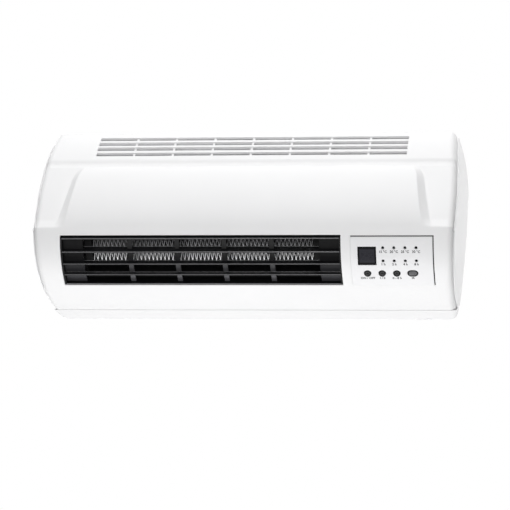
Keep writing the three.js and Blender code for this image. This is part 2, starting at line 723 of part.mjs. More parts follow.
// The channel that leads the cord down behind the housing, and the well above it.
const CORD_X = HALF - CORD_CHANNEL_MARGIN;
const wellBottom = CHIN_HEIGHT + WALL;
const wellTop = wellBottom + CORD_WELL_HEIGHT;
function cordWell(margin) {
  const left = CORD_X - CORD_CHANNEL_WIDTH / 2 - margin;
  const right = CORD_X + CORD_CHANNEL_WIDTH / 2 + margin;
  const back = margin > 0 ? 0 : -1;
  const channelFront = CORD_CHANNEL_DEPTH + margin;
  const wellFront = CORD_WELL_DEPTH + margin;
  const channel = block(left, right, back, channelFront, BASE_HEIGHT - 1, wellBottom + 1);
  const well = block(left, right, back, wellFront, wellBottom - margin, wellTop + margin);
  return margin > 0 ? join(channel, well).intersect(backSpace()) : join(channel, well);
}

const backSpace = () => block(-HALF, HALF, 0, CHIN_DEPTH, BASE_HEIGHT, TOP_HEIGHT);

function wallBracket() {
  const width = BRACKET_WIDTH / 2;
  const height = BRACKET_HEIGHT / 2;
  const sheet = block(-width, width, 0, BRACKET_THICKNESS, -height, height);
  const holes = [-1, 1].flatMap((sx) =>
    [-1, 1].map((sz) =>
      rodY(
        sx * (width - BRACKET_HOLE_INSET),
        -1,
        BRACKET_THICKNESS + 1,
        sz * (height - BRACKET_HOLE_INSET),
        BRACKET_HOLE_RADIUS,
      ),
    ),
  );
  const back = POCKET_DEPTH + WALL + GAP;
  const front = back + BRACKET_THICKNESS;
  const hooks = [-HOOK_X, HOOK_X].flatMap((x) => {
    const [left, right] = [x - HOOK_WIDTH / 2, x + HOOK_WIDTH / 2];
    return [
      block(left, right, 0, front, HOOK_HEIGHT, HOOK_HEIGHT + BRACKET_THICKNESS),
      block(left, right, back, front, HOOK_HEIGHT, HOOK_HEIGHT + HOOK_RISE),
    ];
  });
  return cut(join(sheet, ...hooks), ...holes);
}

function caseScrew([x, z]) {
  const head = rodY(x, 0.1, HEAD_THICKNESS, z, HEAD_RADIUS);
  const shank = rodY(x, HEAD_THICKNESS - 0.2, BACK_BOSS + SCREW_LENGTH, z, SCREW_RADIUS, 10);
  const cross = join(
    block(x - 2, x + 2, -1, 0.9, z - 0.4, z + 0.4),
    block(x - 0.4, x + 0.4, -1, 0.9, z - 2, z + 2),
  );
  return cut(join(head, shank), cross);
}

const glandTop = wellTop + WALL + GLAND_STEM;
function cordGland() {
  const foot = wellTop - GAP - GLAND_LIP;
  const flange = rodZ(CORD_X, GLAND_DEPTH, foot, wellTop - GAP, GLAND_RADIUS + GLAND_LIP);
  const stem = rodZ(CORD_X, GLAND_DEPTH, foot, glandTop, GLAND_RADIUS);
  return cut(join(flange, stem), rodZ(CORD_X, GLAND_DEPTH, foot - 1, glandTop + 1, GLAND_BORE));
}

// ---------------------------------------------------------------- outlet grille

const outletLow = -faceHeight / 2 + GAP;
const outletHigh = faceHeight / 2 - GAP;

function outletGrille() {
  const left = OUTLET_LEFT + GAP;
  const right = OUTLET_RIGHT - GAP;
  const rear = GRILLE_DEPTH + SLAT_INSET;
  const full = bellySkin(left, right, SLAT_INSET / 2, rear, outletLow, outletHigh);
  const openLow = outletLow + GRILLE_RIM;
  const openHigh = outletHigh - GRILLE_RIM;
  const window = bellySkin(left + GRILLE_RIM, right - GRILLE_RIM, -1, rear + 1, openLow, openHigh);
  const inside = [left + GRILLE_RIM / 2, right - GRILLE_RIM / 2];
  const slats = Array.from({ length: SLAT_COUNT }, (_, i) => {
    const up = faceHeight / 2 - SLAT_FIRST - i * SLAT_PITCH;
    return bellySkin(...inside, SLAT_INSET, rear, up - SLAT_THICKNESS / 2, up + SLAT_THICKNESS / 2);
  });
  const span = [outletLow + GRILLE_RIM / 2, outletHigh - GRILLE_RIM / 2];
  const across = (x0, x1, thickness) =>
    bellySkin(x0, x1, BLANK_INSET, BLANK_INSET + thickness, ...span);
  const blanks = [
    across(inside[0], left + BLANK_WIDTH, BLANK_THICKNESS),
    across(right - BLANK_WIDTH, inside[1], BLANK_THICKNESS),
  ];
  const bay = (right - left - 2 * BLANK_WIDTH) / (RIB_COUNT + 1);
  const ribs = Array.from({ length: RIB_COUNT }, (_, i) => {
    const x = left + BLANK_WIDTH + bay * (i + 1);
    return across(x - RIB_WIDTH / 2, x + RIB_WIDTH / 2, RIB_THICKNESS);
  });
  return join(cut(full, window), ...slats, ...blanks, ...ribs);
}

// ---------------------------------------------------------------- fan and duct

const FAN_DEPTH = WALL + SCROLL_STANDOFF + DUCT_WALL + FAN_CLEARANCE + FAN_RADIUS;
const DUCT_LEFT = OUTLET_LEFT + BLANK_WIDTH;
const DUCT_RIGHT = OUTLET_RIGHT - BLANK_WIDTH;
const grilleRear = -(GRILLE_DEPTH + SLAT_INSET) - 2 * GAP;

// Where a duct wall at a place up the face may end, just behind the grille.
const behindGrille = (up) =>
  grilleRear + Math.min(bulgeAt(up - DUCT_WALL), bulgeAt(up + DUCT_WALL));

const aroundFan = (degrees, radius) =>
  v2(
    FAN_DEPTH + radius * Math.cos(THREE.MathUtils.degToRad(degrees)),
    FAN_HEIGHT + radius * Math.sin(THREE.MathUtils.degToRad(degrees)),
  );

// The curved wall behind and below the wheel, which leads the air to the outlet.
function scrollLine() {
  const wheel = FAN_RADIUS + FAN_CLEARANCE;
  const swept = [0, 0.2, 0.5, 0.75, 1].map((share) => {
    const angle = THREE.MathUtils.lerp(SCROLL_START, SCROLL_END, share);
    const opened = Math.max(0, (angle - SCROLL_OPENS) / (SCROLL_END - SCROLL_OPENS));
    return aroundFan(angle, wheel + SCROLL_GROWTH * opened);
  });
  const floor = -faceHeight / 2 + DUCT_FLOOR_RISE;
  const end = fromFace(behindGrille(floor), floor);
  const bend = fromFace(behindGrille(floor) - DUCT_FLOOR_LENGTH, floor);
  return new THREE.CatmullRomCurve3(
    [...swept, bend, end].map((p) => new THREE.Vector3(p.x, p.y, 0)),
  )
    .getPoints(22)
    .map((p) => v2(p.x, p.y));
}

function fanScroll() {
  return prism(strip(scrollLine(), DUCT_WALL), DUCT_LEFT + GAP, DUCT_RIGHT - GAP);
}

// The short wall above the outlet that stops air running back round the wheel.
function fanTongue() {
  const ceiling = faceHeight / 2 - ELEMENT_DROP / 2;
  const line = [
    fromFace(behindGrille(ceiling), ceiling),
    fromFace(behindGrille(ceiling) - TONGUE_LENGTH, ceiling),
    aroundFan(TONGUE_FROM, FAN_RADIUS + FAN_CLEARANCE),
    aroundFan(TONGUE_TO, FAN_RADIUS + FAN_CLEARANCE),
  ];
  return prism(strip(line, DUCT_WALL), DUCT_LEFT + GAP, DUCT_RIGHT - GAP);
}

// A wall across the casing at one end of the wheel, with a hole round the shaft.
function ductWall(x0, x1, holeRadius) {
  const outline = closedProfile(middleLine, WALL + GAP, WALL + GAP, CHIN_HEIGHT + DUCT_CHIN_MARGIN);
  const ahead = faceBlock(x0 - 1, x1 + 1, grilleRear, faceHeight, -faceHeight, faceHeight);
  const above = block(x0 - 1, x1 + 1, -1, LEDGE_DEPTH, HOOD_TOP_HEIGHT - DUCT_TOP_MARGIN, TOP_HEIGHT);
  const hole = rodX(x0 - 1, x1 + 1, FAN_DEPTH, FAN_HEIGHT, holeRadius);
  return cut(prism(outline, x0, x1), ahead, above, hole);
}

// Ribs of the rear housing that the scroll rests on, either side of the bracket's pocket.
const RIB_MIDDLE = FAN_HEIGHT - SCROLL_RIB_DROP;
function scrollRibs() {
  const outer = offsetLine(scrollLine(), DUCT_WALL + GAP);
  const middle = outer.filter((p) => Math.abs(p.y - RIB_MIDDLE) < SCROLL_RIB_HEIGHT / 2);
  const outline = [v2(WALL / 2, middle[0].y), ...middle, v2(WALL / 2, middle.at(-1).y)];
  const beside = BRACKET_WIDTH / 2 + POCKET_MARGIN + 2 * WALL;
  const places = [DUCT_LEFT + SCROLL_RIB_INSET, -beside, beside];
  return places.map((x) => prism(outline, x - WALL / 2, x + WALL / 2));
}

const WHEEL_LEFT = DUCT_LEFT + FAN_END_CLEARANCE;
const WHEEL_RIGHT = DUCT_RIGHT - FAN_END_CLEARANCE;

function fanWheel() {
  const span = WHEEL_RIGHT - WHEEL_LEFT - DISC_THICKNESS;
  const discs = Array.from({ length: DISC_COUNT }, (_, i) => {
    const x = WHEEL_LEFT + (span * i) / (DISC_COUNT - 1);
    const disc = rodX(x, x + DISC_THICKNESS, FAN_DEPTH, FAN_HEIGHT, FAN_RADIUS, 32);
    const atEnd = i === 0 || i === DISC_COUNT - 1;
    const inner = atEnd ? SHAFT_RADIUS + GAP : FAN_RADIUS - BLADE_LENGTH - DISC_RING;
    return cut(disc, rodX(x - 1, x + DISC_THICKNESS + 1, FAN_DEPTH, FAN_HEIGHT, inner, 20));
  });
  const blades = Array.from({ length: BLADE_COUNT }, (_, i) => fanBlade((360 * i) / BLADE_COUNT));
  return join(...discs, ...blades);
}

// One forward-curved blade along the wheel's rim.
function fanBlade(degrees) {
  const points = [0, 0.5, 1].map((t) => {
    const radius = FAN_RADIUS - 1 - BLADE_LENGTH * t;
    return aroundFan(degrees + 16 * t * (1.6 - t), radius);
  });
  const overlap = DISC_THICKNESS / 2;
  return prism(strip(points, BLADE_THICKNESS), WHEEL_LEFT + overlap, WHEEL_RIGHT - overlap);
}

const BRACKET_X = DUCT_RIGHT + DUCT_WALL + GAP;
const MOTOR_X = BRACKET_X + DUCT_WALL + GAP;
const LEFT_WALL_X = DUCT_LEFT - DUCT_WALL;

const fanShaft = () =>
  rodX(LEFT_WALL_X - 4, MOTOR_X + MOTOR_LENGTH / 2, FAN_DEPTH, FAN_HEIGHT, SHAFT_RADIUS, 20);

function bearingBush() {
  const outer = rodX(LEFT_WALL_X - 2, LEFT_WALL_X + DUCT_WALL + 2, FAN_DEPTH, FAN_HEIGHT, BUSH_RADIUS);
  return cut(outer, rodX(LEFT_WALL_X - 9, DUCT_LEFT + 9, FAN_DEPTH, FAN_HEIGHT, SHAFT_RADIUS + GAP));
}

function bushMount() {
  const outer = rodX(LEFT_WALL_X - 1, DUCT_LEFT + 1, FAN_DEPTH, FAN_HEIGHT, BUSH_MOUNT_RADIUS);
  return cut(outer, rodX(LEFT_WALL_X - 9, DUCT_LEFT + 9, FAN_DEPTH, FAN_HEIGHT, BUSH_RADIUS + GAP));
}

function motorBracket() {
  const half = MOTOR_BRACKET / 2;
  const end = BRACKET_X + DUCT_WALL;
  const [back, front] = [FAN_DEPTH - half, FAN_DEPTH + half];
  const plate = block(BRACKET_X, end, back, front, FAN_HEIGHT - half, FAN_HEIGHT + half);
  return cut(plate, rodX(BRACKET_X - 1, end + 1, FAN_DEPTH, FAN_HEIGHT, BUSH_MOUNT_RADIUS));
}

function fanMotor() {
  const can = rodX(MOTOR_X, MOTOR_X + MOTOR_LENGTH, FAN_DEPTH, FAN_HEIGHT, MOTOR_RADIUS, 32);
  const face = MOTOR_X - DUCT_WALL / 2 - GAP;
  const boss = rodX(face, MOTOR_X + 1, FAN_DEPTH, FAN_HEIGHT, BUSH_MOUNT_RADIUS - 1);
  const boreEnd = MOTOR_X + MOTOR_LENGTH / 2 + 1;
  const bore = rodX(face - 1, boreEnd, FAN_DEPTH, FAN_HEIGHT, SHAFT_RADIUS + GAP);
  return cut(join(can, boss), bore);
}

// ---------------------------------------------------------------- heating element

const elementHigh = faceHeight / 2 - ELEMENT_DROP;
const elementLow = elementHigh - ELEMENT_HEIGHT;
const elementMiddle = (elementHigh + elementLow) / 2;
const elementFront = grilleRear - ELEMENT_SETBACK + bulgeAt(0);
const elementBack = elementFront - ELEMENT_THICKNESS;
const ELEMENT_LEFT = DUCT_LEFT + GAP + HOLDER_WIDTH;
const ELEMENT_RIGHT = DUCT_RIGHT - GAP - HOLDER_WIDTH;

const elementHolder = (x0, x1) =>
  faceBlock(x0, x1, elementBack - 2, elementFront + 2, elementLow - 2, elementHigh + 2);

function elementBar(low, high, inset = 0) {
  const [left, right] = [ELEMENT_LEFT + GAP, ELEMENT_RIGHT - GAP];
  return faceBlock(left, right, elementBack + inset, elementFront - inset, low, high);
}

const upperRail = () => elementBar(elementHigh - RAIL_THICKNESS, elementHigh);
const lowerRail = () => elementBar(elementLow, elementLow + RAIL_THICKNESS);
const ceramicBar = () =>
  elementBar(elementMiddle - CERAMIC_THICKNESS / 2, elementMiddle + CERAMIC_THICKNESS / 2, 1);

// A folded ribbon of aluminium between two flat bars, its folds pressed flat against them.
function finPack(low, high) {
  const left = ELEMENT_LEFT + 2 * GAP;
  const length = ELEMENT_RIGHT - ELEMENT_LEFT - 4 * GAP;
  const folds = 2 * Math.floor(length / FIN_PITCH);
  const line = Array.from({ length: folds + 1 }, (_, i) =>
    v2(left + (length * i) / folds, i % 2 ? high : low),
  );
  const half = FIN_THICKNESS / 2;
  const outline = [...offsetLine(line, half), ...offsetLine(line, -half).reverse()];
  const depth = ELEMENT_THICKNESS - 2;
  const geometry = new THREE.ExtrudeGeometry(new THREE.Shape(outline), { depth, bevelEnabled: false });
  geometry.rotateX(Math.PI / 2).translate(0, elementFront - 1, 0);
  const ribbon = solidOf(geometry.applyMatrix4(facePlace));
  return ribbon.intersect(faceBlock(left, left + length, elementBack, elementFront, low, high));
}

function elementTerminal(up) {
  const start = DUCT_RIGHT + DUCT_WALL + GAP;
  const middle = (elementFront + elementBack) / 2;
  const [back, front] = [middle - TERMINAL_WIDTH / 2, middle + TERMINAL_WIDTH / 2];
  const half = TERMINAL_THICKNESS / 2;
  return faceBlock(start, start + TERMINAL_LENGTH, back, front, up - half, up + half);
}

function thermalCutout() {
  const centre = fromFace(elementBack - CUTOUT_RADIUS, elementHigh + CUTOUT_RADIUS / 2);
  const end = LEFT_WALL_X - GAP;
  return rodX(end - CUTOUT_THICKNESS, end, centre.x, centre.y, CUTOUT_RADIUS);
}

// ---------------------------------------------------------------- controls

const plateLow = -faceHeight / 2 + GAP;
const plateHigh = faceHeight / 2 - GAP;
const boardFront = -BOARD_SETBACK;
const boardBack = boardFront - BOARD_THICKNESS;
const displayX = PLATE_LEFT + DISPLAY_X;
const receiverX = PLATE_LEFT + RECEIVER_X;
const ledPlaces = [LED_UPPER_V, LED_LOWER_V].flatMap((up) =>
  [0, 1, 2, 3].map((i) => [PLATE_LEFT + LED_X + i * LED_PITCH, up]),
);
const buttonPlaces = [0, 1, 2].map((i) => [PLATE_LEFT + BUTTON_X + i * BUTTON_PITCH, BUTTON_V]);
const underPlate = (up) => bulgeAt(up) - PLATE_THICKNESS;

// An oval rod that points out of the face.
function ovalRod(x, up, out0, out1, width, height) {
  const half = (width - height) / 2;
  return join(
    faceRod(x - half, up, out0, out1, height / 2),
    faceRod(x + half, up, out0, out1, height / 2),
    faceBlock(x - half, x + half, out0, out1, up - height / 2, up + height / 2),
  );
}

function controlPlate() {
  const [left, right] = [PLATE_LEFT + GAP, PLATE_RIGHT - GAP];
  const skin = bellySkin(left, right, 0, PLATE_THICKNESS, plateLow, plateHigh);
  const posts = boardPosts().map(([x, up]) =>
    faceRod(x, up, boardFront + GAP, underPlate(up) + 1, BOARD_POST_RADIUS, 10),
  );
  const through = [-BOARD_SETBACK - WALL, BOARD_SETBACK + WALL];
  const [halfWide, halfTall] = [DISPLAY_WIDTH / 2, DISPLAY_HEIGHT / 2];
  const window = faceBlock(
    displayX - halfWide,
    displayX + halfWide,
    ...through,
    DISPLAY_V - halfTall,
    DISPLAY_V + halfTall,
  );
  const leds = ledPlaces.map(([x, up]) => faceRod(x, up, ...through, LED_RADIUS + GAP / 2, 12));
  const buttons = buttonPlaces.map(([x, up]) => faceRod(x, up, ...through, BUTTON_RADIUS + GAP, 20));
  const [wide, tall] = [RECEIVER_WIDTH + 2 * GAP, RECEIVER_HEIGHT + 2 * GAP];
  const oval = ovalRod(receiverX, BUTTON_V, ...through, wide, tall);
  return cut(join(skin, ...posts), window, ...leds, ...buttons, oval);
}

const boardPosts = () =>
  [PLATE_LEFT + BOARD_POST_INSET, PLATE_RIGHT - BOARD_POST_INSET].flatMap((x) => [
    [x, plateLow + BOARD_POST_INSET],
    [x, plateHigh - BOARD_POST_INSET],
  ]);

// The clear pane and the lit module behind it.
const PANE_INSET = 0.3;
const paneBack = PANE_INSET + PANE_THICKNESS;
function displayWindow() {
  const half = DISPLAY_WIDTH / 2 - GAP;
  const tall = DISPLAY_HEIGHT / 2 - GAP;
  const [left, right] = [displayX - half, displayX + half];
  return bellySkin(left, right, PANE_INSET, paneBack, DISPLAY_V - tall, DISPLAY_V + tall);
}

function displayModule() {
  const half = DISPLAY_WIDTH / 2 - 1;
  const low = DISPLAY_V - DISPLAY_HEIGHT / 2 + 1;
  const high = DISPLAY_V + DISPLAY_HEIGHT / 2 - 1;
  const front = Math.min(bulgeAt(low), bulgeAt(high)) - paneBack - GAP;
  return faceBlock(displayX - half, displayX + half, boardFront + GAP, front, low, high);
}

const indicator = ([x, up]) =>
  faceRod(x, up, boardFront + GAP, bulgeAt(up) - LED_INSET, LED_RADIUS - GAP / 2, 12);

function buttonCap([x, up]) {
  const wide = BUTTON_RADIUS + BUTTON_FLANGE;
  const slack = Math.abs(bulgeAt(up - wide) - bulgeAt(up));
  const front = underPlate(up) - slack - GAP;
  const back = front - BUTTON_FLANGE;
  const cap = faceRod(x, up, back, bulgeAt(up) + BUTTON_PROUD, BUTTON_RADIUS, 20);
  const stem = faceRod(x, up, switchTop + BUTTON_TRAVEL + GAP, front, BUTTON_STEM_RADIUS, 10);
  return join(cap, faceRod(x, up, back, front, wide, 20), stem);
}

// A box on the control board, about a place on the face.
function onControlBoard(x, up, size, front) {
  const half = size / 2;
  return faceBlock(x - half, x + half, boardFront + GAP, front, up - half, up + half);
}

const switchTop = boardFront + GAP + SWITCH_HEIGHT;
const buttonSwitch = ([x, up]) => onControlBoard(x, up, SWITCH_SIZE, switchTop);

const receiverBack = underPlate(BUTTON_V) - RECEIVER_LIP;
function receiverWindow() {
  const front = bulgeAt(BUTTON_V) + RECEIVER_PROUD;
  return ovalRod(receiverX, BUTTON_V, receiverBack, front, RECEIVER_WIDTH, RECEIVER_HEIGHT);
}
const receiverModule = () => onControlBoard(receiverX, BUTTON_V, SWITCH_SIZE, receiverBack - GAP);

function controlBoard() {
  const [left, right] = [PLATE_LEFT + BOARD_MARGIN, PLATE_RIGHT - BOARD_MARGIN];
  const [low, high] = [plateLow + BOARD_MARGIN, plateHigh - BOARD_MARGIN / 2];
  return faceBlock(left, right, boardBack, boardFront, low, high);
}

// ---------------------------------------------------------------- power electronics

const POWER_RIGHT = HALF - POST_MARGIN - POST_RADIUS - POWER_BOARD_CLEARANCE;
const POWER_LEFT = POWER_RIGHT - POWER_BOARD_WIDTH;
const POWER_LOW = glandTop + POWER_BOARD_CLEARANCE;
const POWER_HIGH = POWER_LOW + POWER_BOARD_HEIGHT;
const powerBack = WALL + POWER_BOARD_STANDOFF;
const powerFace = powerBack + BOARD_THICKNESS;
const powerBoard = () => block(POWER_LEFT, POWER_RIGHT, powerBack, powerFace, POWER_LOW, POWER_HIGH);

const standoffs = () =>
  [POWER_LEFT + STANDOFF_INSET, POWER_RIGHT - STANDOFF_INSET].flatMap((x) =>
    [POWER_LOW + STANDOFF_INSET, POWER_HIGH - STANDOFF_INSET].map((z) =>
      rodY(x, WALL / 2, powerBack - GAP, z, STANDOFF_RADIUS, 10),
    ),
  );

// A box on the power board, placed from the board's lower left corner.
function onBoard(x, z, width, height, depth) {
  const [left, low, back] = [POWER_LEFT + x, POWER_LOW + z, powerFace + GAP];
  return block(left, left + width, back, back + depth, low, low + height);
}

const relay = (i) =>
  onBoard(RELAY_LEFT, RELAY_LOW + i * RELAY_PITCH, RELAY_WIDTH, RELAY_HEIGHT, RELAY_HEIGHT);

function terminalBlock() {
  const [width, height, depth] = [TERMINAL_BLOCK_WIDTH, TERMINAL_BLOCK_HEIGHT, TERMINAL_BLOCK_DEPTH];
  const body = onBoard(TERMINAL_BLOCK_X, TERMINAL_BLOCK_Z, width, height, depth);
  const front = powerFace + GAP + depth;
  const z = POWER_LOW + TERMINAL_BLOCK_Z + height / 2;
  const screws = Array.from({ length: TERMINAL_SCREWS }, (_, i) => {
    const x = POWER_LEFT + TERMINAL_BLOCK_X + (width * (i + 0.5)) / TERMINAL_SCREWS;
    return rodY(x, front - depth / 4, front + 1, z, height / 5, 12);
  });
  return cut(body, ...screws);
}

function capacitor() {
  const back = powerFace + GAP;
  const x = POWER_LEFT + CAPACITOR_X;
  return rodY(x, back, back + CAPACITOR_LENGTH, POWER_LOW + CAPACITOR_Z, CAPACITOR_RADIUS, 20);
}

// ---------------------------------------------------------------- inlet filter

function filterBand(under0, under1, x0, x1, from, to) {
  const outer = lineBetween(offsetLine(bandLine, under0), from, to);
  const inner = lineBetween(offsetLine(bandLine, under1), from, to).reverse();
  return prism([...outer, ...inner], x0, x1);
}

// The part of a line between two depths.
function lineBetween(line, from, to) {
  const at = (depth) => {
    const passed = line.findIndex((p, i) => i > 0 && p.x >= depth);
    const after = passed < 0 ? line.length - 1 : passed;
    const [a, b] = [line[after - 1], line[after]];
    return a.clone().lerp(b, (depth - a.x) / (b.x - a.x));
  };
  return [at(from), ...line.filter((p) => p.x > from + 1 && p.x < to - 1), at(to)];
}

const FILTER_REACH = HALF - INLET_MARGIN + FILTER_OVERLAP;
const FILTER_FROM = FILTER_BACK_MARGIN;
const FILTER_TO = CREASE_DEPTH - FILTER_FRONT_MARGIN;
const filterUnder = WALL + GAP;
const meshUnder = filterUnder + FILTER_THICKNESS + GAP;

function filterFrame() {
  const bottom = filterUnder + FILTER_THICKNESS;
  const sheet = filterBand(filterUnder, bottom, -FILTER_REACH, FILTER_REACH, FILTER_FROM, FILTER_TO);
  const bay = (2 * FILTER_REACH - FILTER_RIM) / FILTER_BAYS;
  const from = FILTER_FROM + FILTER_RIM;
  const to = FILTER_TO - FILTER_RIM;
  const windows = Array.from({ length: FILTER_BAYS }, (_, i) => {
    const x0 = -FILTER_REACH + FILTER_RIM + i * bay;
    return filterBand(filterUnder - 1, bottom + 1, x0, x0 + bay - FILTER_RIM, from, to);
  });
  return cut(sheet, ...windows);
}

function filterMesh() {
  const reach = FILTER_REACH - FILTER_RIM / 2;
  const from = FILTER_FROM + FILTER_RIM / 2;
  const to = FILTER_TO - FILTER_RIM / 2;
  return filterBand(meshUnder, meshUnder + MESH_THICKNESS, -reach, reach, from, to);
}

// ---------------------------------------------------------------- assembly

const finish = (color, roughness, metalness = 0) =>
  new THREE.MeshStandardMaterial({ color, roughness, metalness });
const white = finish(0xf2f2f2, 0.38);
const plateWhite = finish(0xe9eaec, 0.5);
const black = finish(0x1b1c20, 0.45);
const ductBlack = finish(0x222326, 0.6);
const aluminium = finish(0xc4c6c8, 0.35, 1);
const steel = finish(0xb5b8bb, 0.4, 1);
const ceramic = finish(0xd9d4c8, 0.7);
const brass = finish(0xb08a3c, 0.35, 1);
const rubber = finish(0x222222, 0.85);
const smoked = finish(0x0c0d10, 0.12);
const boardGreen = finish(0x1f5a38, 0.5);
const part = finish(0x2b2f36, 0.5);
const meshGrey = finish(0x9a9c9e, 0.6);

const heater = new THREE.Group();
function add(name, solid, material) {
  const mesh = new THREE.Mesh(geometryOf(solid), material);
  mesh.name = name;
  heater.add(mesh);
}

add("front_shell", frontShell(), white);
add("left_end_cap", endCap(-1), white);
add("right_end_cap", endCap(1), white);
add("rear_housing", rearHousing(), white);
add("wall_bracket", wallBracket(), steel);
postPlaces().forEach((place, i) => add(`case_screw_${i + 1}`, caseScrew(place), steel));
add("cord_gland", cordGland(), rubber);
add("filter_frame", filterFrame(), part);
add("filter_mesh", filterMesh(), meshGrey);

add("outlet_grille", outletGrille(), black);
add("fan_scroll", fanScroll(), ductBlack);
add("fan_tongue", fanTongue(), ductBlack);
add("duct_left_wall", ductWall(LEFT_WALL_X, DUCT_LEFT, BUSH_MOUNT_RADIUS + GAP), ductBlack);
add("duct_right_wall", ductWall(DUCT_RIGHT, DUCT_RIGHT + DUCT_WALL, BUSH_MOUNT_RADIUS), ductBlack);
add("fan_wheel", fanWheel(), part);
add("fan_shaft", fanShaft(), steel);
add("bearing_bush", bearingBush(), brass);
add("bush_mount", bushMount(), rubber);
add("motor_bracket", motorBracket(), steel);
add("fan_motor", fanMotor(), steel);

add("element_holder_left", elementHolder(DUCT_LEFT + GAP, ELEMENT_LEFT), ductBlack);
add("element_holder_right", elementHolder(ELEMENT_RIGHT, DUCT_RIGHT - GAP), ductBlack);
add("element_rail_upper", upperRail(), aluminium);
add("element_rail_lower", lowerRail(), aluminium);
add("ceramic_bar", ceramicBar(), ceramic);
const barHalf = CERAMIC_THICKNESS / 2 + GAP;
const railDepth = RAIL_THICKNESS + GAP;
add("fin_pack_upper", finPack(elementMiddle + barHalf, elementHigh - railDepth), aluminium);
add("fin_pack_lower", finPack(elementLow + railDepth, elementMiddle - barHalf), aluminium);
add("element_terminal_1", elementTerminal(elementMiddle + TERMINAL_OFFSET), brass);
add("element_terminal_2", elementTerminal(elementMiddle - TERMINAL_OFFSET), brass);
add("thermal_cutout", thermalCutout(), part);

add("control_plate", controlPlate(), plateWhite);
add("display_window", displayWindow(), smoked);
add("display_module", displayModule(), part);
ledPlaces.forEach((place, i) => add(`indicator_${i + 1}`, indicator(place), smoked));
buttonPlaces.forEach((place, i) => {
  add(`button_${i + 1}`, buttonCap(place), part);
  add(`button_switch_${i + 1}`, buttonSwitch(place), part);
});
add("receiver_window", receiverWindow(), smoked);
add("receiver_module", receiverModule(), part);
add("control_board", controlBoard(), boardGreen);

add("power_board", powerBoard(), boardGreen);
add("heater_relay_1", relay(0), part);
add("heater_relay_2", relay(1), part);
add("capacitor", capacitor(), part);
add("terminal_block", terminalBlock(), part);

export default heater;
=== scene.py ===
"""Looks of a bathroom wall fan heater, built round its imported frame.

X runs along the heater, +Y into the wall, +Z up. Shapes are worked out in millimetres as
(depth, height) with depth = -Y, and stored in metres. On the belly, where the outlet and the
controls sit, they are (outward, up) from the middle of that face.
"""

import json
import math

import bmesh
import bpy
from mathutils import Matrix, Vector


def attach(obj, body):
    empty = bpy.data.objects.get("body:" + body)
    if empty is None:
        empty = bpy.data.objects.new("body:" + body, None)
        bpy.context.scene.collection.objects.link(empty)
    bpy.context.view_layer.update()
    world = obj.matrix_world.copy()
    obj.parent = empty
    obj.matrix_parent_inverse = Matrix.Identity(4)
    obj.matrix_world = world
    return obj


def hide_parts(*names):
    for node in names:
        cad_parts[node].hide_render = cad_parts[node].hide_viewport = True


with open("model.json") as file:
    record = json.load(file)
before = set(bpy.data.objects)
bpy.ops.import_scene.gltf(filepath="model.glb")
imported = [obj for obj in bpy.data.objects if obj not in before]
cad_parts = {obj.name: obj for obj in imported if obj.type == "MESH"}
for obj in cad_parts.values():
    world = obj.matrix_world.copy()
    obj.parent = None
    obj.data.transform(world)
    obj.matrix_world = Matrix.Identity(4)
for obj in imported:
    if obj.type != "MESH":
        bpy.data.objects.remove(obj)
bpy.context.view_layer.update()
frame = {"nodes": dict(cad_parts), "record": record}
NODES = frame["nodes"]
MM = 0.001

# ---- sizes, as in the solids

# Casing
HALF = 221.4  # half the width between the end seams, where the heater is widest
WIDEST = 38.0  # height of the widest place
END_DRAW = 5.4  # how far each end has drawn in at the top and at the base
TOP_DRAW_POWER = 2  # 1 would be a straight taper, 2 is a parabola
BASE_DRAW_POWER = 1.2
WALL = 2.5  # moulded walls
GAP = 0.3  # between separate pieces
SEAM = 0.8  # open line round each end cap
ROLL = 6.0  # radius that rolls the shell over at its ends
LAND = 0.3  # straight rim after the roll
CAP_LAND = 1.0  # straight rim of an end cap before it domes
CAP_BULGE = 5.3  # how far an end cap domes out
CAP_CENTRE = 35.0  # height of the dome's highest point
SPIGOT_REACH = 9  # rim of an end cap inside the shell

# Side profile
TOP = (0.0, 99.8)
CREASE = (48.8, 74.6)
LEDGE = (108.4, 15.2)
BELLY = (116.8, 8.6)
CHIN = (42.0, -86.3)
BASE = -100.6  # height of the lip's lower edge
BAND_BOW = 2.5  # how far the top band bows outward
RECESS_BOW = 1.8  # how far the side recess floor bows outward
BELLY_HANDLES = ((7.2, -30.6), (68, 26.3))  # of the belly curve, from its top and from the chin

# Hood raised from the middle of the shell
HOOD_TOP = 68.0
HOOD_HANDLES = ((23, -1.5), (-4, 19.4))  # of the hood curve, from its top and from its foot
HOOD_MARGINS = (42.8, 33.0)  # from the end seam to the hood's upper and lower corner
FLANKS = (7.0, 10.3)  # width of the sloped flanks at the top and at the bottom

# Air inlet in the top band
INLET_MARGIN = 53.4  # from the end seam to the inlet
INLET_COLUMNS = 8
INLET_RIB = 2.4  # bar between two slots

# Outlet and control plate in the belly
FACE_TOP = -0.4  # height of the upper edge of both
FACE_BOTTOM = -54.6
OUTLET = (-192.3, 104.1)  # left and right edge
PLATE = (114.0, 200.6)
PLATE_THICKNESS = 2.2
RIM = 1.6  # of the grille
BLANK_WIDTH = 23  # closed ends of the grille
BLANK_INSET = 7.0  # of their front, and of the ribs' front, behind the belly
RIB_COUNT = 4
RIB_WIDTH = 5.3
SLAT_FIRST = 3.2  # from the upper edge to the first slat
SLAT_PITCH = 13.6
ELEMENT_SETBACK = 21.2  # of the heating element's front, behind the belly
FINS = (-161.3, 73.1)  # left and right end of the fin packs

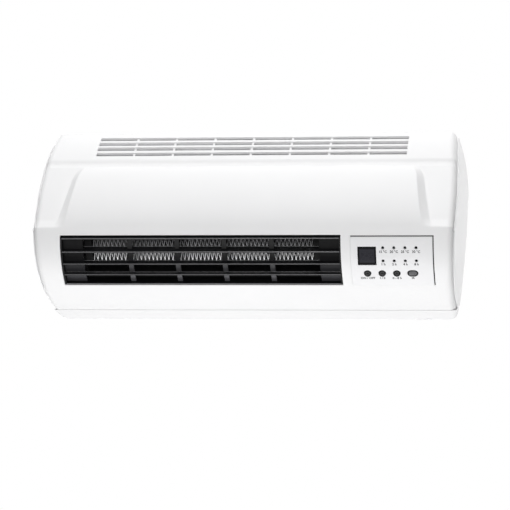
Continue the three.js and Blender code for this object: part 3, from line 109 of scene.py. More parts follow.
# Controls, along the plate from its left edge and up from the middle of the face
DISPLAY_X = 17.1
DISPLAY_UP = 8.3
LED_X = 33.8
LED_PITCH = 11.5
LED_COLUMNS = 4
LED_UPS = (17.3, 3.2)
LED_INSET = 0.4  # below the plate's surface
BUTTON_X = 16.8
BUTTON_PITCH = 15.2
BUTTON_COUNT = 3
BUTTON_UP = -12.2
BUTTON_RADIUS = 3.7
BUTTON_PROUD = 0.8
FLANGE_RADIUS = 4.9
FLANGE = 1.2  # thickness
FLANGE_GAP = 0.9  # behind the plate
STEM_RADIUS = 1.6
STEM_END = -3.4  # outward place of the stem's rear end
RECEIVER_X = 63.8

# ---- sizes of the scene alone

# Shell and caps
DRAW_START = 202.0  # where along X the shell begins to follow its drawn-in end
DRAW_FULL = 214.5
SLOT_ROWS = [(10.6, 17.8), (21.8, 28.6), (32.1, 38.5), (42.4, 47.8)]  # down the band from the wall
OUTLET_TOP = FACE_TOP + 0.75  # the shell clears the grille a little above it
CHIN_CUT = CHIN[1] - 0.35  # lower edge of the shell
EDGE_WALL = 1.6  # thickness of that edge, in walls
SHELL_EDGE = 0.45  # roundness of every edge of the shell
GROOVE = 1.1  # dip of the strip between the band and the hood
CORNER = 9.0  # plan radius of the hood's upper corners
CORNER_SHARE = 0.75  # how much of a full round corner they have
FLANK_SOFT = 0.7  # half width of the bend at each side of a flank
WARP = (110, 165, 205, 213)  # where the rows begin, reach, leave and end their shift along X
TONGUE_UNDER = 0.5  # behind the belly's surface
TONGUE_WALL = 1.2
TONGUE_DOWN = 2.2  # from the chin
TONGUE_UP = 5.0
TONGUE_SLOPE_UP = 1.5  # how far above the chin its slope is taken
SEAM_DEPTH = 2.0  # of the step behind the seam round a cap
CAP_EDGE = 0.7
CAP_WALL = 1.6
SPIGOT_WALL = 1.2
LIP_CORNER = 6.0
LIP_TOP = CHIN[1] - 1.5  # where the lip's corners begin to round
LIP_REACH = 12  # what lies so near to the end seam takes part in them

# Spacing of the shell's mesh
ROLL_ANGLES = (0, 12, 24, 36, 47, 58, 68, 78, 90)
WIDE_END = 7  # wide columns end here, from the foot of the flank
WIDE_STEP = 3.2
ZONE_INSIDE = 6  # close columns, from the foot of the flank
ZONE_OUTSIDE = 13.5
ZONE_STEP = 0.75
SIDE_ZONE = 12
SIDE_STEP = 1.5
COLUMN_KEEP = 0.7  # least distance to a fixed column
BAND_STEP = 1.7
BELLY_STEP = 2.0
ROW_KEEP = 0.8
GROOVE_ROWS = 5
HOOD_EVERY = 9  # points of the hood's curve for each row
LEDGE_KEEP = 0.9
BELLY_KEEP = 0.3
CURVE_STEPS = 400

# Grille, fins and plate
GRILLE_BACK = 15.6
TOP_RIM_INSET = 5.0
BOTTOM_RIM_INSET = 0.9
SIDE_RIM_INSET = 1.2
BLANK_BACK = 9.0  # depths of rear faces behind the belly
RIB_BACK = 10.0
SLAT_DEPTHS = (13.0, 13.0, 8.5, 6.5)  # from the top one down
SLAT_INSET = 0.5
SLAT_NOSE = 0.8  # radius
SLAT_TAIL = 0.6  # half the thickness at the back
FIN_PITCH = 4.2
FIN_THICKNESS = 0.42
FIN_FRONT = 1  # behind the element's front
FIN_BACK = 11
UPPER_FINS = (7.5, 19.5)  # lower and upper end of the folds
LOWER_FINS = (-7.7, 4.3)
PLATE_TRIM_TOP = 1.05  # how far the plate's upper edge moves down
PLATE_TRIM_RIGHT = 1.0  # and its right edge to the left
PLATE_SHIFT = 0.2  # of its lower edge down, and of its left edge to the left
PANE_SIZE = (9.4, 10.0)  # of the display: half its width, half its height
PANEL_SIZE = (7.9, 7.2, 7.4)  # half its width, its reach down and up
DIGIT_SIZE = (2.3, 4.3, 0.45)  # half its width, half its height, a bar's width
DIGIT_X = 3.7  # from the middle of the display
MARK_SIZE = 3.6
MARK_BOLD = 0.08
MARK_THICKNESS = 0.02
LED_MARK_DROP = 4.1
BUTTON_MARK_DROP = 6.5
LED_MARKS = ("15 °C", "20 °C", "25 °C", "30 °C", "1 h", "2 h", "4 h", "8 h")
BUTTON_MARKS = ("ON / OFF", "I / II", "0 - 8 h", "IR")

# Camera and studio, in metres, degrees and watts
CAMERA_TARGET = Vector((6.1, -60.0, -26.0)) * MM
CAMERA_AZIMUTH = 8.27
CAMERA_ELEVATION = 5.3
CAMERA_ROLL = -0.83
CAMERA_DISTANCE = 3.072
FOCAL_SHARE = 2899 / 510  # focal length in widths of the picture
FLOOR = -1.9
FLOOR_RADIUS = 9.0
WORLD_LIGHT = 0.36  # as the surfaces get it
LAMPS = (  # name, place, size, power
    ("overhead", (0.0, -0.1, 1.8), (0.7, 1.4), 21),
    ("high rear", (0.0, 1.4, 1.3), (1.2, 0.7), 6),
    ("from below", (0.0, -0.42, -1.15), (1.2, 0.6), 7.6),
    ("front", (0.0, -2.6, 0.2), (0.6, 1.4), 19),
    ("left rear", (-1.3, 1.9, 0.0), (0.8, 1.2), 16),
    ("right rear", (1.3, 1.9, 0.0), (0.8, 1.2), 16),
)
LAMP_AIM = (0, -0.06, 0)


# ---- lines

def lerp(a, b, t):
    return a + (b - a) * t


def smooth(t):
    t = min(1.0, max(0.0, t))
    return t * t * (3 - 2 * t)


def inward(a, b):
    """The unit direction into the body, square to the way from a to b down the side profile."""
    dx, dy = b[0] - a[0], b[1] - a[1]
    size = max(1e-9, math.hypot(dx, dy))
    return (dy / size, -dx / size)


def moved(p, direction, distance=1):
    return (p[0] + direction[0] * distance, p[1] + direction[1] * distance)


def curve(a, b, handles):
    """The points of a cubic from a to b, with a handle at each end."""
    p = (a, moved(a, handles[0]), moved(b, handles[1]), b)
    out = []
    for i in range(CURVE_STEPS + 1):
        t = i / CURVE_STEPS
        k = ((1 - t) ** 3, 3 * t * (1 - t) ** 2, 3 * t * t * (1 - t), t ** 3)
        out.append(tuple(sum(k[j] * p[j][c] for j in range(4)) for c in range(2)))
    return out


def bowed_at(a, b, bow, t):
    """A place on a line from a to b that bows outward."""
    ax, ay = b[0] - a[0], b[1] - a[1]
    size = math.hypot(ax, ay)
    lift = 4 * bow * t * (1 - t)
    return (a[0] + ax * t - ay / size * lift, a[1] + ay * t + ax / size * lift)


def band_at(t):
    return bowed_at(TOP, CREASE, BAND_BOW, t)


def at_value(line, key, value):
    """The point of a line where key(point), which grows along it, passes a value."""
    for a, b in zip(line, line[1:]):
        if key(b) >= value:
            t = (value - key(a)) / max(1e-9, key(b) - key(a))
            return (lerp(a[0], b[0], t), lerp(a[1], b[1], t))
    return line[-1]


def across(p):
    return p[0] - p[1]


def end_draw(z):
    """How far the ends have drawn in at a height."""
    if z > WIDEST:
        return END_DRAW * ((z - WIDEST) / (TOP[1] - WIDEST)) ** TOP_DRAW_POWER
    return END_DRAW * ((WIDEST - z) / (WIDEST - BASE)) ** BASE_DRAW_POWER


def drawn(x, z):
    """An X near an end, moved in as the end is at that height."""
    share = smooth((abs(x) - DRAW_START) / (DRAW_FULL - DRAW_START))
    return x - math.copysign(end_draw(z) * share, x)


recess = [bowed_at(CREASE, LEDGE, RECESS_BOW, i / 60) for i in range(61)]
floor_line = recess + [bowed_at(LEDGE, BELLY, 0, i / 12) for i in range(1, 13)]
belly_curve = curve(BELLY, CHIN, BELLY_HANDLES)
hood_slope = (LEDGE[0] - CREASE[0]) / (CREASE[1] - LEDGE[1])
HOOD_START = (CREASE[0] + (CREASE[1] - HOOD_TOP) * hood_slope, HOOD_TOP)
hood_curve = curve(HOOD_START, BELLY, HOOD_HANDLES)


def belly_at(z):
    return at_value(belly_curve, lambda p: -p[1], -z)


face_top = belly_at(FACE_TOP)
face_bottom = belly_at(FACE_BOTTOM)
FACE_MID = ((face_top[0] + face_bottom[0]) / 2, (face_top[1] + face_bottom[1]) / 2)
FACE_HEIGHT = math.hypot(face_top[0] - face_bottom[0], face_top[1] - face_bottom[1])
UP = ((face_top[0] - face_bottom[0]) / FACE_HEIGHT, (face_top[1] - face_bottom[1]) / FACE_HEIGHT)
OUT = (UP[1], -UP[0])
face_line = []  # the belly as (outward, down)
for p in belly_curve:
    off = moved(p, FACE_MID, -1)
    face_line.append((off[0] * OUT[0] + off[1] * OUT[1], -(off[0] * UP[0] + off[1] * UP[1])))


def bulge(up):
    """How far the belly stands out from the chord of its face at a place up the face."""
    return at_value(face_line, lambda p: p[1], -up)[0]


def in_profile(out, up):
    """A place of the face as (depth, height)."""
    return (FACE_MID[0] + OUT[0] * out + UP[0] * up, FACE_MID[1] + OUT[1] * out + UP[1] * up)


def on_face(x, out, up):
    depth, z = in_profile(out, up)
    return Vector((x, -depth, z)) * MM


# ---- mesh helpers

def linked(name, data):
    ob = bpy.data.objects.new(name, data)
    bpy.context.scene.collection.objects.link(ob)
    return ob


def new_object(name, bm, mat, sharp=30, centre=None):
    """Makes an object. An open skin says with a centre which way is out: away from it."""
    me = bpy.data.meshes.new(name)
    bmesh.ops.recalc_face_normals(bm, faces=bm.faces)
    if centre is not None:
        bm.normal_update()
        away = sum((f.calc_center_median() - centre).dot(f.normal) * f.calc_area() for f in bm.faces)
        if away < 0:
            bmesh.ops.reverse_faces(bm, faces=bm.faces)
    bm.to_mesh(me)
    bm.free()
    me.materials.append(mat)
    for p in me.polygons:
        p.use_smooth = True
    me.set_sharp_from_angle(angle=math.radians(sharp))
    return linked(name, me)


def piece(ob, slot, *nodes, body="heater"):
    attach(ob, body)
    if nodes:
        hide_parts(*nodes)


def add_bevel(ob, width, segments):
    m = ob.modifiers.new("edges", "BEVEL")
    m.width = width * MM
    m.segments = segments
    m.angle_limit = math.radians(35)
    ob.modifiers.new("shading", "WEIGHTED_NORMAL").weight = 80


def edged_piece(name, bm, mat, slot, *nodes, edge=0.35, segments=2, sharp=35):
    """A piece of the heater's body with round edges."""
    ob = new_object(name, bm, mat, sharp=sharp)
    add_bevel(ob, edge, segments)
    piece(ob, slot, *nodes)


def thicken(ob, wall):
    m = ob.modifiers.new("wall", "SOLIDIFY")
    m.thickness = wall * MM


def skin(bm, a, b, closed=True):
    """Faces between two lines of points."""
    n = len(a)
    for i in range(n if closed else n - 1):
        bm.faces.new((a[i], a[(i + 1) % n], b[(i + 1) % n], b[i]))


def loft(bm, lines):
    """A closed body through equal rings of points, with flat ends."""
    for a, b in zip(lines, lines[1:]):
        skin(bm, a, b)
    bm.faces.new(lines[0][::-1])
    bm.faces.new(lines[-1])


def prism(bm, ring, x0, x1):
    """Adds a closed (depth, height) ring swept along X."""
    loft(bm, [[bm.verts.new(Vector((x, -p[0], p[1])) * MM) for p in ring] for x in (x0, x1)])


def face_prism(bm, ring, x0, x1):
    """Adds a closed (outward, up) ring swept along X."""
    prism(bm, [in_profile(out, up) for out, up in ring], x0, x1)


def face_slab(bm, x0, x1, low, high, back, front, steps=6):
    """A thin slab that follows the belly between two places up the face, so far behind it."""
    ring = []
    for a, b, under in ((low, high, back), (high, low, front)):
        ups = [lerp(a, b, k / steps) for k in range(steps + 1)]
        ring += [(bulge(up) - under, up) for up in ups]
    face_prism(bm, ring, x0, x1)


def node_mesh(name):
    """The mesh of a solid, with its shared points merged."""
    bm = bmesh.new()
    bm.from_mesh(NODES[name].data)
    bmesh.ops.remove_doubles(bm, verts=bm.verts, dist=0.002 * MM)
    return bm


# ---- materials

def fill(nt, node, inputs):
    """Gives a node its inputs, each a value or the output of another node."""
    for name, value in inputs.items():
        if isinstance(value, bpy.types.NodeSocket):
            nt.links.new(value, node.inputs[name])
        else:
            node.inputs[name].default_value = value
    return node


def new_node(nt, kind, inputs, **settings):
    node = nt.nodes.new("ShaderNode" + kind)
    for name, value in settings.items():
        setattr(node, name, value)
    return fill(nt, node, inputs)


def math_node(nt, operation, a, b):
    return new_node(nt, "Math", {0: a, 1: b}, operation=operation).outputs["Value"]


def mix_color(nt, factor, a, b):
    return new_node(nt, "Mix", {"Factor": factor, "A": a, "B": b}, data_type="RGBA").outputs["Result"]


def noise(nt, coord, scale, detail, rough, stretch):
    place = new_node(nt, "Mapping", {"Vector": coord, "Scale": stretch}).outputs["Vector"]
    inputs = {"Vector": place, "Scale": scale, "Detail": detail, "Roughness": rough}
    return new_node(nt, "TexNoise", inputs).outputs["Fac"]


def ranged(nt, value, low, high, from_low=0.35, from_high=0.65):
    inputs = {"Value": value, "From Min": from_low, "From Max": from_high, "To Min": low, "To Max": high}
    return new_node(nt, "MapRange", inputs).outputs["Result"]


def material(name, color, rough, metal=0.0, vary=0.03, rough_vary=0.05, patch=14.0, grain=2600.0,
             bump=0.08, height=0.00002, stretch=(1, 1, 1), specular=0.5, painted_light_below=None):
    """A moulded, drawn or woven surface: broad patches of shade and gloss, and a fine grain.

    Where asked, it turns paler downwards as painted light from below, given as the pale colour and the
    heights of start and end.
    """
    mat = bpy.data.materials.new(name)
    mat.use_nodes = True
    nt = mat.node_tree
    coord = nt.nodes.new("ShaderNodeTexCoord").outputs["Object"]
    lighter = tuple(min(1.0, c * (1 + vary)) for c in color)
    darker = tuple(c * (1 - vary) for c in color)
    broad = noise(nt, coord, patch, 4.0, 0.6, stretch)
    mid = noise(nt, coord, patch * 9, 3.0, 0.6, stretch)
    fine = noise(nt, coord, grain, 2.0, 0.5, stretch)
    shade = mix_color(nt, ranged(nt, broad, 0, 1), (*darker, 1), (*lighter, 1))
    if painted_light_below:
        pale, start, full = painted_light_below
        level = new_node(nt, "SeparateXYZ", {"Vector": coord}).outputs["Z"]
        shade = mix_color(nt, ranged(nt, level, 0, 1, start * MM, full * MM), shade, (*pale, 1))
    relief = new_node(nt, "Bump", {"Strength": bump, "Distance": height, "Height": fine})
    fill(nt, nt.nodes["Principled BSDF"], {
        "Base Color": shade,
        "Roughness": ranged(nt, mid, rough - rough_vary, rough + rough_vary),
        "Normal": relief.outputs["Normal"],
        "Metallic": metal,
        "Specular IOR Level": specular,
    })
    return mat


MOULDED = {"vary": 0.25, "grain": 1700, "bump": 0.35, "height": 0.00006}
FOIL = {"metal": 1.0, "patch": 60, "grain": 1400, "bump": 0.2, "stretch": (1, 1, 0.25)}
PANE = {"vary": 0.1, "rough_vary": 0.04, "grain": 900, "bump": 0.02}
CASING = material("casing white", (0.85, 0.85, 0.855), 0.5, vary=0.006, rough_vary=0.04, grain=1800,
                  bump=0.05, specular=0.2)
PLATE_MAT = material("plate white", (0.83, 0.83, 0.84), 0.5, vary=0.008, grain=3000, bump=0.10, specular=0.25)
GRILLE = material("grille black", (0.005, 0.005, 0.0056), 0.5, **MOULDED, specular=0.2)
# The blanks and ribs turn paler towards the bottom: painted light from below.
BLANK = material("blank black", (0.005, 0.005, 0.0055), 0.5, **MOULDED, specular=0.12,
                 painted_light_below=((0.06, 0.06, 0.066), -24, -50))
GRILLE_RIB = material("rib black", (0.005, 0.005, 0.0056), 0.45, **MOULDED, specular=0.25,
                      painted_light_below=((0.12, 0.12, 0.13), -24, -50))
SLAT = material("slat black", (0.008, 0.008, 0.009), 0.42, vary=0.25, grain=1700, bump=0.3,
                height=0.00005, specular=0.25)
# A paler copy of the black plastic, paler still at the bottom rim: painted highlight for the glints along the
# slats and the rim.
PAINTED_GLINT = material("painted slat glint", (0.09, 0.09, 0.096), 0.3, vary=0.15, grain=2400, bump=0.1,
                specular=0.5, painted_light_below=((0.3, 0.3, 0.31), -50, -54))
DUCT = material("duct black", (0.008, 0.008, 0.0085), 0.65, vary=0.2, grain=1600, bump=0.2, specular=0.2)
FAN = material("fan grey", (0.05, 0.05, 0.055), 0.5, vary=0.12, grain=1600, bump=0.15, specular=0.3)
FILTER = material("filter grey", (0.46, 0.46, 0.47), 0.55, vary=0.05, grain=1500, bump=0.15)
CLOTH = material("filter cloth", (0.43, 0.43, 0.44), 0.8, vary=0.08, grain=4200, bump=0.6, height=0.0001)
BRACKET = material("bracket steel", (0.42, 0.43, 0.44), 0.4, metal=1.0, vary=0.05, patch=40, grain=900,
                   bump=0.12, stretch=(0.2, 1, 1))
SCREW = material("screw steel", (0.55, 0.56, 0.57), 0.3, metal=1.0, vary=0.06, grain=2000, bump=0.1)
RUBBER = material("black rubber", (0.02, 0.02, 0.02), 0.8, vary=0.15, grain=1800, bump=0.3, specular=0.3)
ALUMINIUM = material("fin aluminium", (0.88, 0.88, 0.89), 0.4, vary=0.05, **FOIL)
# A darker copy of the fin aluminium: painted shade for the upper fin pack.
PAINTED_SHADE_FIN = material("fin aluminium painted shade", (0.34, 0.34, 0.35), 0.5, vary=0.2, **FOIL)
CERAMIC = material("ceramic", (0.26, 0.255, 0.245), 0.75, vary=0.08, grain=2200, bump=0.3)
BRASS = material("brass", (0.68, 0.5, 0.2), 0.3, metal=1.0, vary=0.08, grain=1600, bump=0.12)
WINDOW = material("smoked window", (0.002, 0.002, 0.003), 0.25, **PANE, specular=0.12)
PANEL = material("display panel", (0.013, 0.013, 0.019), 0.3, **PANE, specular=0.25)
SEGMENT = material("display segment", (0.018, 0.018, 0.025), 0.3, vary=0.1, grain=1500, bump=0.05,
                   specular=0.25)
BUTTON = material("button black", (0.004, 0.004, 0.0045), 0.35, vary=0.1, grain=2600, bump=0.1, specular=0.2)
BUTTON_FACE = material("button grey", (0.035, 0.035, 0.037), 0.26, vary=0.08, grain=2600, bump=0.1,
                       specular=0.4)
RECEIVER_FACE = material("receiver grey", (0.1, 0.1, 0.105), 0.3, vary=0.06, grain=2200, bump=0.08)
COMPONENT = material("component black", (0.02, 0.02, 0.022), 0.5, vary=0.15, grain=1800, bump=0.15)
BOARD = material("board green", (0.02, 0.12, 0.05), 0.45, vary=0.12, grain=1500, bump=0.12)
INK = material("ink grey", (0.02, 0.02, 0.023), 0.6, vary=0.05, grain=2000, bump=0.05)
LENS = material("lens", (0.004, 0.004, 0.005), 0.3, vary=0.1, rough_vary=0.04, grain=1500, bump=0.05,
                specular=0.15)

SLOT_MATERIALS = {
    "casing_white": CASING, "plate_white": PLATE_MAT, "grille_black": GRILLE, "duct_black": DUCT,
    "fan_grey": FAN, "filter_grey": FILTER, "filter_cloth": CLOTH, "bracket_steel": BRACKET,
    "screw_steel": SCREW, "black_rubber": RUBBER, "fin_aluminium": ALUMINIUM, "ceramic": CERAMIC,
    "brass": BRASS, "smoked_window": WINDOW, "button_grey": BUTTON, "component_black": COMPONENT,
    "board_green": BOARD,
}


def dress_solids():
    slots = {s["node"]: s["material_slot"] for s in frame["record"]["subparts"]}
    for name, ob in NODES.items():
        mat = SLOT_MATERIALS[slots[name]]
        if not ob.material_slots:
            ob.data.materials.append(mat)
        for s in ob.material_slots:
            s.material = mat


# ---- front shell

def soft_ramp(u, r):
    """Zero below -r, u above r, and a parabola between."""
    if u <= -r:
        return 0.0
    if u >= r:
        return u
    return (u + r) ** 2 / (4 * r)


def hood_share(z):
    return min(1.0, max(0.0, (HOOD_TOP - z) / (HOOD_TOP - BELLY[1])))


def crest(z):
    """Half width of the hood's flat part where its surface is z high."""
    inset = lerp(*HOOD_MARGINS, hood_share(z))
    down = HOOD_TOP - z
    if down < CORNER:
        inset += CORNER_SHARE * (CORNER - math.sqrt(max(0.0, CORNER ** 2 - (CORNER - down) ** 2)))
    return HALF - inset


def flank(z):
    return lerp(*FLANKS, hood_share(z))


def spaced(a, b, step):
    n = max(1, round((b - a) / step))
    return [lerp(a, b, i / n) for i in range(n + 1)]


def merged(fixed, free, keep):
    """Fixed values, and those of the free ones that aren't too near to them."""
    out = list(fixed)
    out += [v for v in free if all(abs(v - f) > keep for f in fixed)]
    return sorted(set(round(v, 4) for v in out))


FLAT_END = HALF - LAND - ROLL
SLOT_END = HALF - INLET_MARGIN
SLOT_BAY = 2 * SLOT_END / INLET_COLUMNS
SLOT_SPAN = (INLET_RIB / 2 - SLOT_END, SLOT_END - INLET_RIB / 2)
BAND_LENGTH = math.hypot(CREASE[0], TOP[1] - CREASE[1])
FLANK_REF = crest(BELLY[1])


def shell_columns():
    """Places along X where the shell has a line of points."""
    roll = [FLAT_END + ROLL * math.sin(math.radians(a)) for a in ROLL_ANGLES] + [HALF]
    wide = spaced(0, FLANK_REF - WIDE_END, WIDE_STEP)
    zone = spaced(FLANK_REF - ZONE_INSIDE, FLANK_REF + ZONE_OUTSIDE, ZONE_STEP)
    free = wide + zone + spaced(FLAT_END - SIDE_ZONE, FLAT_END, SIDE_STEP)
    free = [-v for v in free] + free
    fixed = [*SLOT_SPAN, *OUTLET, *PLATE] + [-v for v in roll] + roll
    return merged(fixed, free, COLUMN_KEEP)


def roll_in(x):
    past = max(0.0, abs(x) - FLAT_END)
    return ROLL - math.sqrt(max(0.0, ROLL ** 2 - min(past, ROLL) ** 2))


class Row:
    """One line of the shell along X: where it runs at the sides, and how the hood lifts it."""

    def __init__(self, base, lift=0.0, z=None, warp=0.0, band=None, face=None):
        self.base = base
        self.lift = lift
        self.z = z
        self.warp = warp
        self.band = band
        self.face = face
        self.inward = None


def band_rows():
    fixed = [v for r in SLOT_ROWS for v in r] + [0, BAND_LENGTH]
    places = merged(fixed, spaced(0, BAND_LENGTH, BAND_STEP), ROW_KEEP)
    return [Row(band_at(s / BAND_LENGTH), band=s) for s in places]


def groove_rows():
    full = crest(HOOD_TOP) - FLANK_REF
    rows = []
    for i in range(1, GROOVE_ROWS + 1):
        p = at_value(floor_line, across, lerp(across(CREASE), across(HOOD_START), i / GROOVE_ROWS))
        dip = GROOVE * math.sin(math.pi * i / (GROOVE_ROWS + 1))
        rows.append(Row((p[0] - dip, p[1] - dip), z=HOOD_TOP, warp=full * i / GROOVE_ROWS))
    return rows


def hood_rows():
    ledge = across(LEDGE)
    points = [p for p in hood_curve[HOOD_EVERY::HOOD_EVERY] if abs(across(p) - ledge) > LEDGE_KEEP]
    points.append(at_value(hood_curve, across, ledge))
    rows = []
    for p in sorted(points, key=across):
        if across(p) < across(BELLY) - BELLY_KEEP:
            base = at_value(floor_line, across, across(p))
            lift = max(0.0, (p[0] - base[0] + p[1] - base[1]) / 2)
            rows.append(Row(base, lift, p[1], crest(p[1]) - FLANK_REF))
    return rows


def belly_rows():
    fixed = [OUTLET_TOP, FACE_TOP, FACE_BOTTOM, CHIN[1]]
    heights = merged(fixed, spaced(BELLY[1], CHIN[1], -BELLY_STEP), ROW_KEEP)
    rows = []
    for z in reversed(heights):
        p = belly_at(z) if z < BELLY[1] - 0.01 else BELLY
        rows.append(Row(p, z=z, face=z))
    return rows


def shell_rows():
    """The lines of the shell, from the wall over the top and down to the chin."""
    rows = band_rows() + groove_rows() + hood_rows() + belly_rows()
    for i, r in enumerate(rows):
        r.inward = inward(rows[max(0, i - 1)].base, rows[min(len(rows) - 1, i + 1)].base)
    return rows


def warp_share(x):
    """How much of a row's shift along X a place takes."""
    start, full, leave, end = WARP
    return smooth(min((abs(x) - start) / (full - start), (end - abs(x)) / (end - leave)))


def shell_point(row, x):
    """A point of the shell's outer surface as (x, depth, height)."""
    d, z = row.base
    x = math.copysign(abs(x) + row.warp * warp_share(x), x)
    if row.lift:
        past, wide = abs(x) - crest(row.z), flank(row.z)
        share = 1 - (soft_ramp(past, FLANK_SOFT) - soft_ramp(past - wide, FLANK_SOFT)) / wide
        d += row.lift * share
        z += row.lift * share
    d, z = moved((d, z), row.inward, roll_in(x))
    return drawn(x, z), max(0.0, d), z


def lower_edge(rows, x):
    """Depth of the shell's lower edge, cut level where the rolled end draws it in."""
    above, row = rows[-2:]
    slope = (row.base[0] - above.base[0]) / (row.base[1] - above.base[1])
    d, z = moved(row.base, row.inward, roll_in(x))
    return d + (CHIN_CUT - z) * slope


def shell_lines(bm, rows, cols):
    """The shell's outer points, and the places of the inner ones under them."""
    outer, inner = [], []
    for row in rows:
        line, under = [], []
        for x in cols:
            px, d, z = shell_point(row, x)
            if row is rows[-1]:
                d, z = lower_edge(rows, x), CHIN_CUT
                below = (d - WALL * EDGE_WALL, z)
            else:
                below = moved((d, z), row.inward, WALL)
                below = (max(0.0, below[0]), below[1])
            line.append(bm.verts.new(Vector((px, -d, z)) * MM))
            under.append(Vector((px, -below[0], below[1])) * MM)
        outer.append(line)
        inner.append(under)
    return outer, inner


def is_open(a, b, x):
    """Whether the shell is cut out between two rows at a place along X."""
    if a.band is not None and b.band is not None:
        s = (a.band + b.band) / 2
        return any(lo < s < hi for lo, hi in SLOT_ROWS) and SLOT_SPAN[0] < x < SLOT_SPAN[1]
    if a.face is not None and b.face is not None:
        z = (a.face + b.face) / 2
        in_outlet = OUTLET[0] < x < OUTLET[1] and z < OUTLET_TOP
        in_plate = PLATE[0] < x < PLATE[1] and z < FACE_TOP
        return FACE_BOTTOM < z and (in_outlet or in_plate)
    return False


def front_shell():
    """The outer skin with its openings, and a turned-in wall round every edge."""
    rows, cols = shell_rows(), shell_columns()
    bm = bmesh.new()
    outer, inner = shell_lines(bm, rows, cols)
    for i in range(len(rows) - 1):
        for j in range(len(cols) - 1):
            if not is_open(rows[i], rows[i + 1], (cols[j] + cols[j + 1]) / 2):
                bm.faces.new((outer[i][j], outer[i][j + 1], outer[i + 1][j + 1], outer[i + 1][j]))
    where = {v: (i, j) for i, line in enumerate(outer) for j, v in enumerate(line)}
    bm.normal_update()
    rim = [e for e in bm.edges if len(e.link_faces) == 1]
    under = {}
    for e in rim:
        for v in e.verts:
            if v not in under:
                i, j = where[v]
                under[v] = bm.verts.new(inner[i][j])
    for e in rim:
        a, b = e.verts
        bm.faces.new((a, b, under[b], under[a]))
    bmesh.ops.recalc_face_normals(bm, faces=bm.faces)
    loose = [v for v in bm.verts if not v.link_faces]
    bmesh.ops.delete(bm, geom=loose, context="VERTS")
    ends = (0, len(cols) - 1)
    edges = [e for e in rim if e.is_valid and not all(where[v][1] in ends for v in e.verts)]
    bmesh.ops.bevel(bm, geom=edges, offset=SHELL_EDGE * MM, segments=3, profile=0.5, affect="EDGES",
                    clamp_overlap=True)
    piece(new_object("shell", bm, CASING, sharp=40), "casing_white", "front_shell")


# ---- housing, inlet ribs, seam tongue

def cut_level(bm, side, high, z):
    """Cuts the faces at one end of the lip at a height, so that its corner can bend."""
    reach, large = (HALF - 30) * MM, 1e-4
    near = [f for f in bm.faces if side * f.calc_center_median().x > reach or f.calc_area() > large]
    low = [f for f in near if min(v.co.z for v in f.verts) < high]
    geom = low + list({e for f in low for e in f.edges}) + list({v for f in low for v in f.verts})
    bmesh.ops.bisect_plane(bm, geom=geom, plane_co=(0, 0, z), plane_no=(0, 0, 1))


def rear_housing():
    """The housing with soft edges, and with the lower corners of its lip rounded off."""
    bm = node_mesh("rear_housing")
    high, base = LIP_TOP * MM, BASE * MM
    cuts = 6
    for k in range(1, cuts):
        for side in (-1, 1):
            cut_level(bm, side, high, lerp(high, base, 1 - (1 - k / cuts) ** 1.5))
    for v in bm.verts:
        if abs(v.co.x) > (HALF - LIP_REACH) * MM and v.co.z < high:
            t = (high - v.co.z) / (high - base)
            v.co.x -= math.copysign(LIP_CORNER * MM * (1 - math.sqrt(max(0.0, 1 - t * t))), v.co.x)
    edged_piece("housing", bm, CASING, "casing_white", "rear_housing", edge=0.5)


def band_ring(at, reach, low, high):
    """A closed outline across the band: round one place, between two depths below its surface."""
    out = []
    corners = ((-reach, high), (0, high), (reach, high), (reach, low), (-reach, low))
    for beside, under in corners:
        t = (at + beside) / BAND_LENGTH
        out.append(moved(band_at(t), inward(band_at(t - 0.005), band_at(t + 0.005)), under))
    return out


def inlet_ribs():
    """The short bars between the slots of each row, a little below the band."""
    bm = bmesh.new()
    overlap, inset = 0.4, 1.4
    for low, high in SLOT_ROWS:
        ring = band_ring((low + high) / 2, (high - low) / 2 + overlap, WALL, inset)
        for i in range(1, INLET_COLUMNS):
            x = i * SLOT_BAY - SLOT_END
            prism(bm, ring, x - INLET_RIB / 2, x + INLET_RIB / 2)
    edged_piece("inlet_ribs", bm, CASING, "casing_white", edge=0.3, sharp=30)


def seam_tongue():
    """The inner edge that closes the seam between the shell and the lip from behind."""
    bm = bmesh.new()
    a, b = belly_at(CHIN[1] + TONGUE_SLOPE_UP), CHIN
    slope = (b[0] - a[0]) / (b[1] - a[1])
    heights = (CHIN[1] - TONGUE_DOWN, CHIN[1], CHIN[1] + TONGUE_UP)
    line = [(CHIN[0] + (z - CHIN[1]) * slope, z) for z in heights]
    size = math.hypot(1, slope)
    ring = [(p[0] - TONGUE_UNDER * size, p[1]) for p in line]
    ring += [(p[0] - (TONGUE_UNDER + TONGUE_WALL) * size, p[1]) for p in reversed(line)]
    prism(bm, ring, SPIGOT_REACH - HALF, HALF - SPIGOT_REACH)
    piece(new_object("seam_tongue", bm, CASING), "casing_white")


# ---- end caps

def side_outline(inset, chin):
    """The side profile moved in, from the wall round to the chin, closed along the wall."""
    line = [band_at(i / 24) for i in range(25)]
    line += recess[2::2]
    line += [((LEDGE[0] + BELLY[0]) / 2, (LEDGE[1] + BELLY[1]) / 2), BELLY]
    line += belly_curve[8::8]
    out = []
    for i, p in enumerate(line):
        out.append(moved(p, inward(line[max(0, i - 1)], line[min(len(line) - 1, i + 1)]), inset))
    ahead = [p for p in out if p[0] > 0.2]
    k = out.index(ahead[0])
    if k > 0:
        a, b = out[k - 1], out[k]
        ahead.insert(0, (0.0, lerp(a[1], b[1], (0 - a[0]) / (b[0] - a[0]))))
    ahead = [p for p in ahead if p[1] > chin + 0.5]
    a, b = ahead[-2], ahead[-1]
    foot = lerp(a[0], b[0], (chin - a[1]) / (b[1] - a[1]))
    ahead.append((foot, chin))
    ahead += [(foot * (1 - i / 8), chin) for i in range(1, 9)]
    return ahead + [(0.0, lerp(chin, ahead[0][1], i / 40)) for i in range(1, 40)]


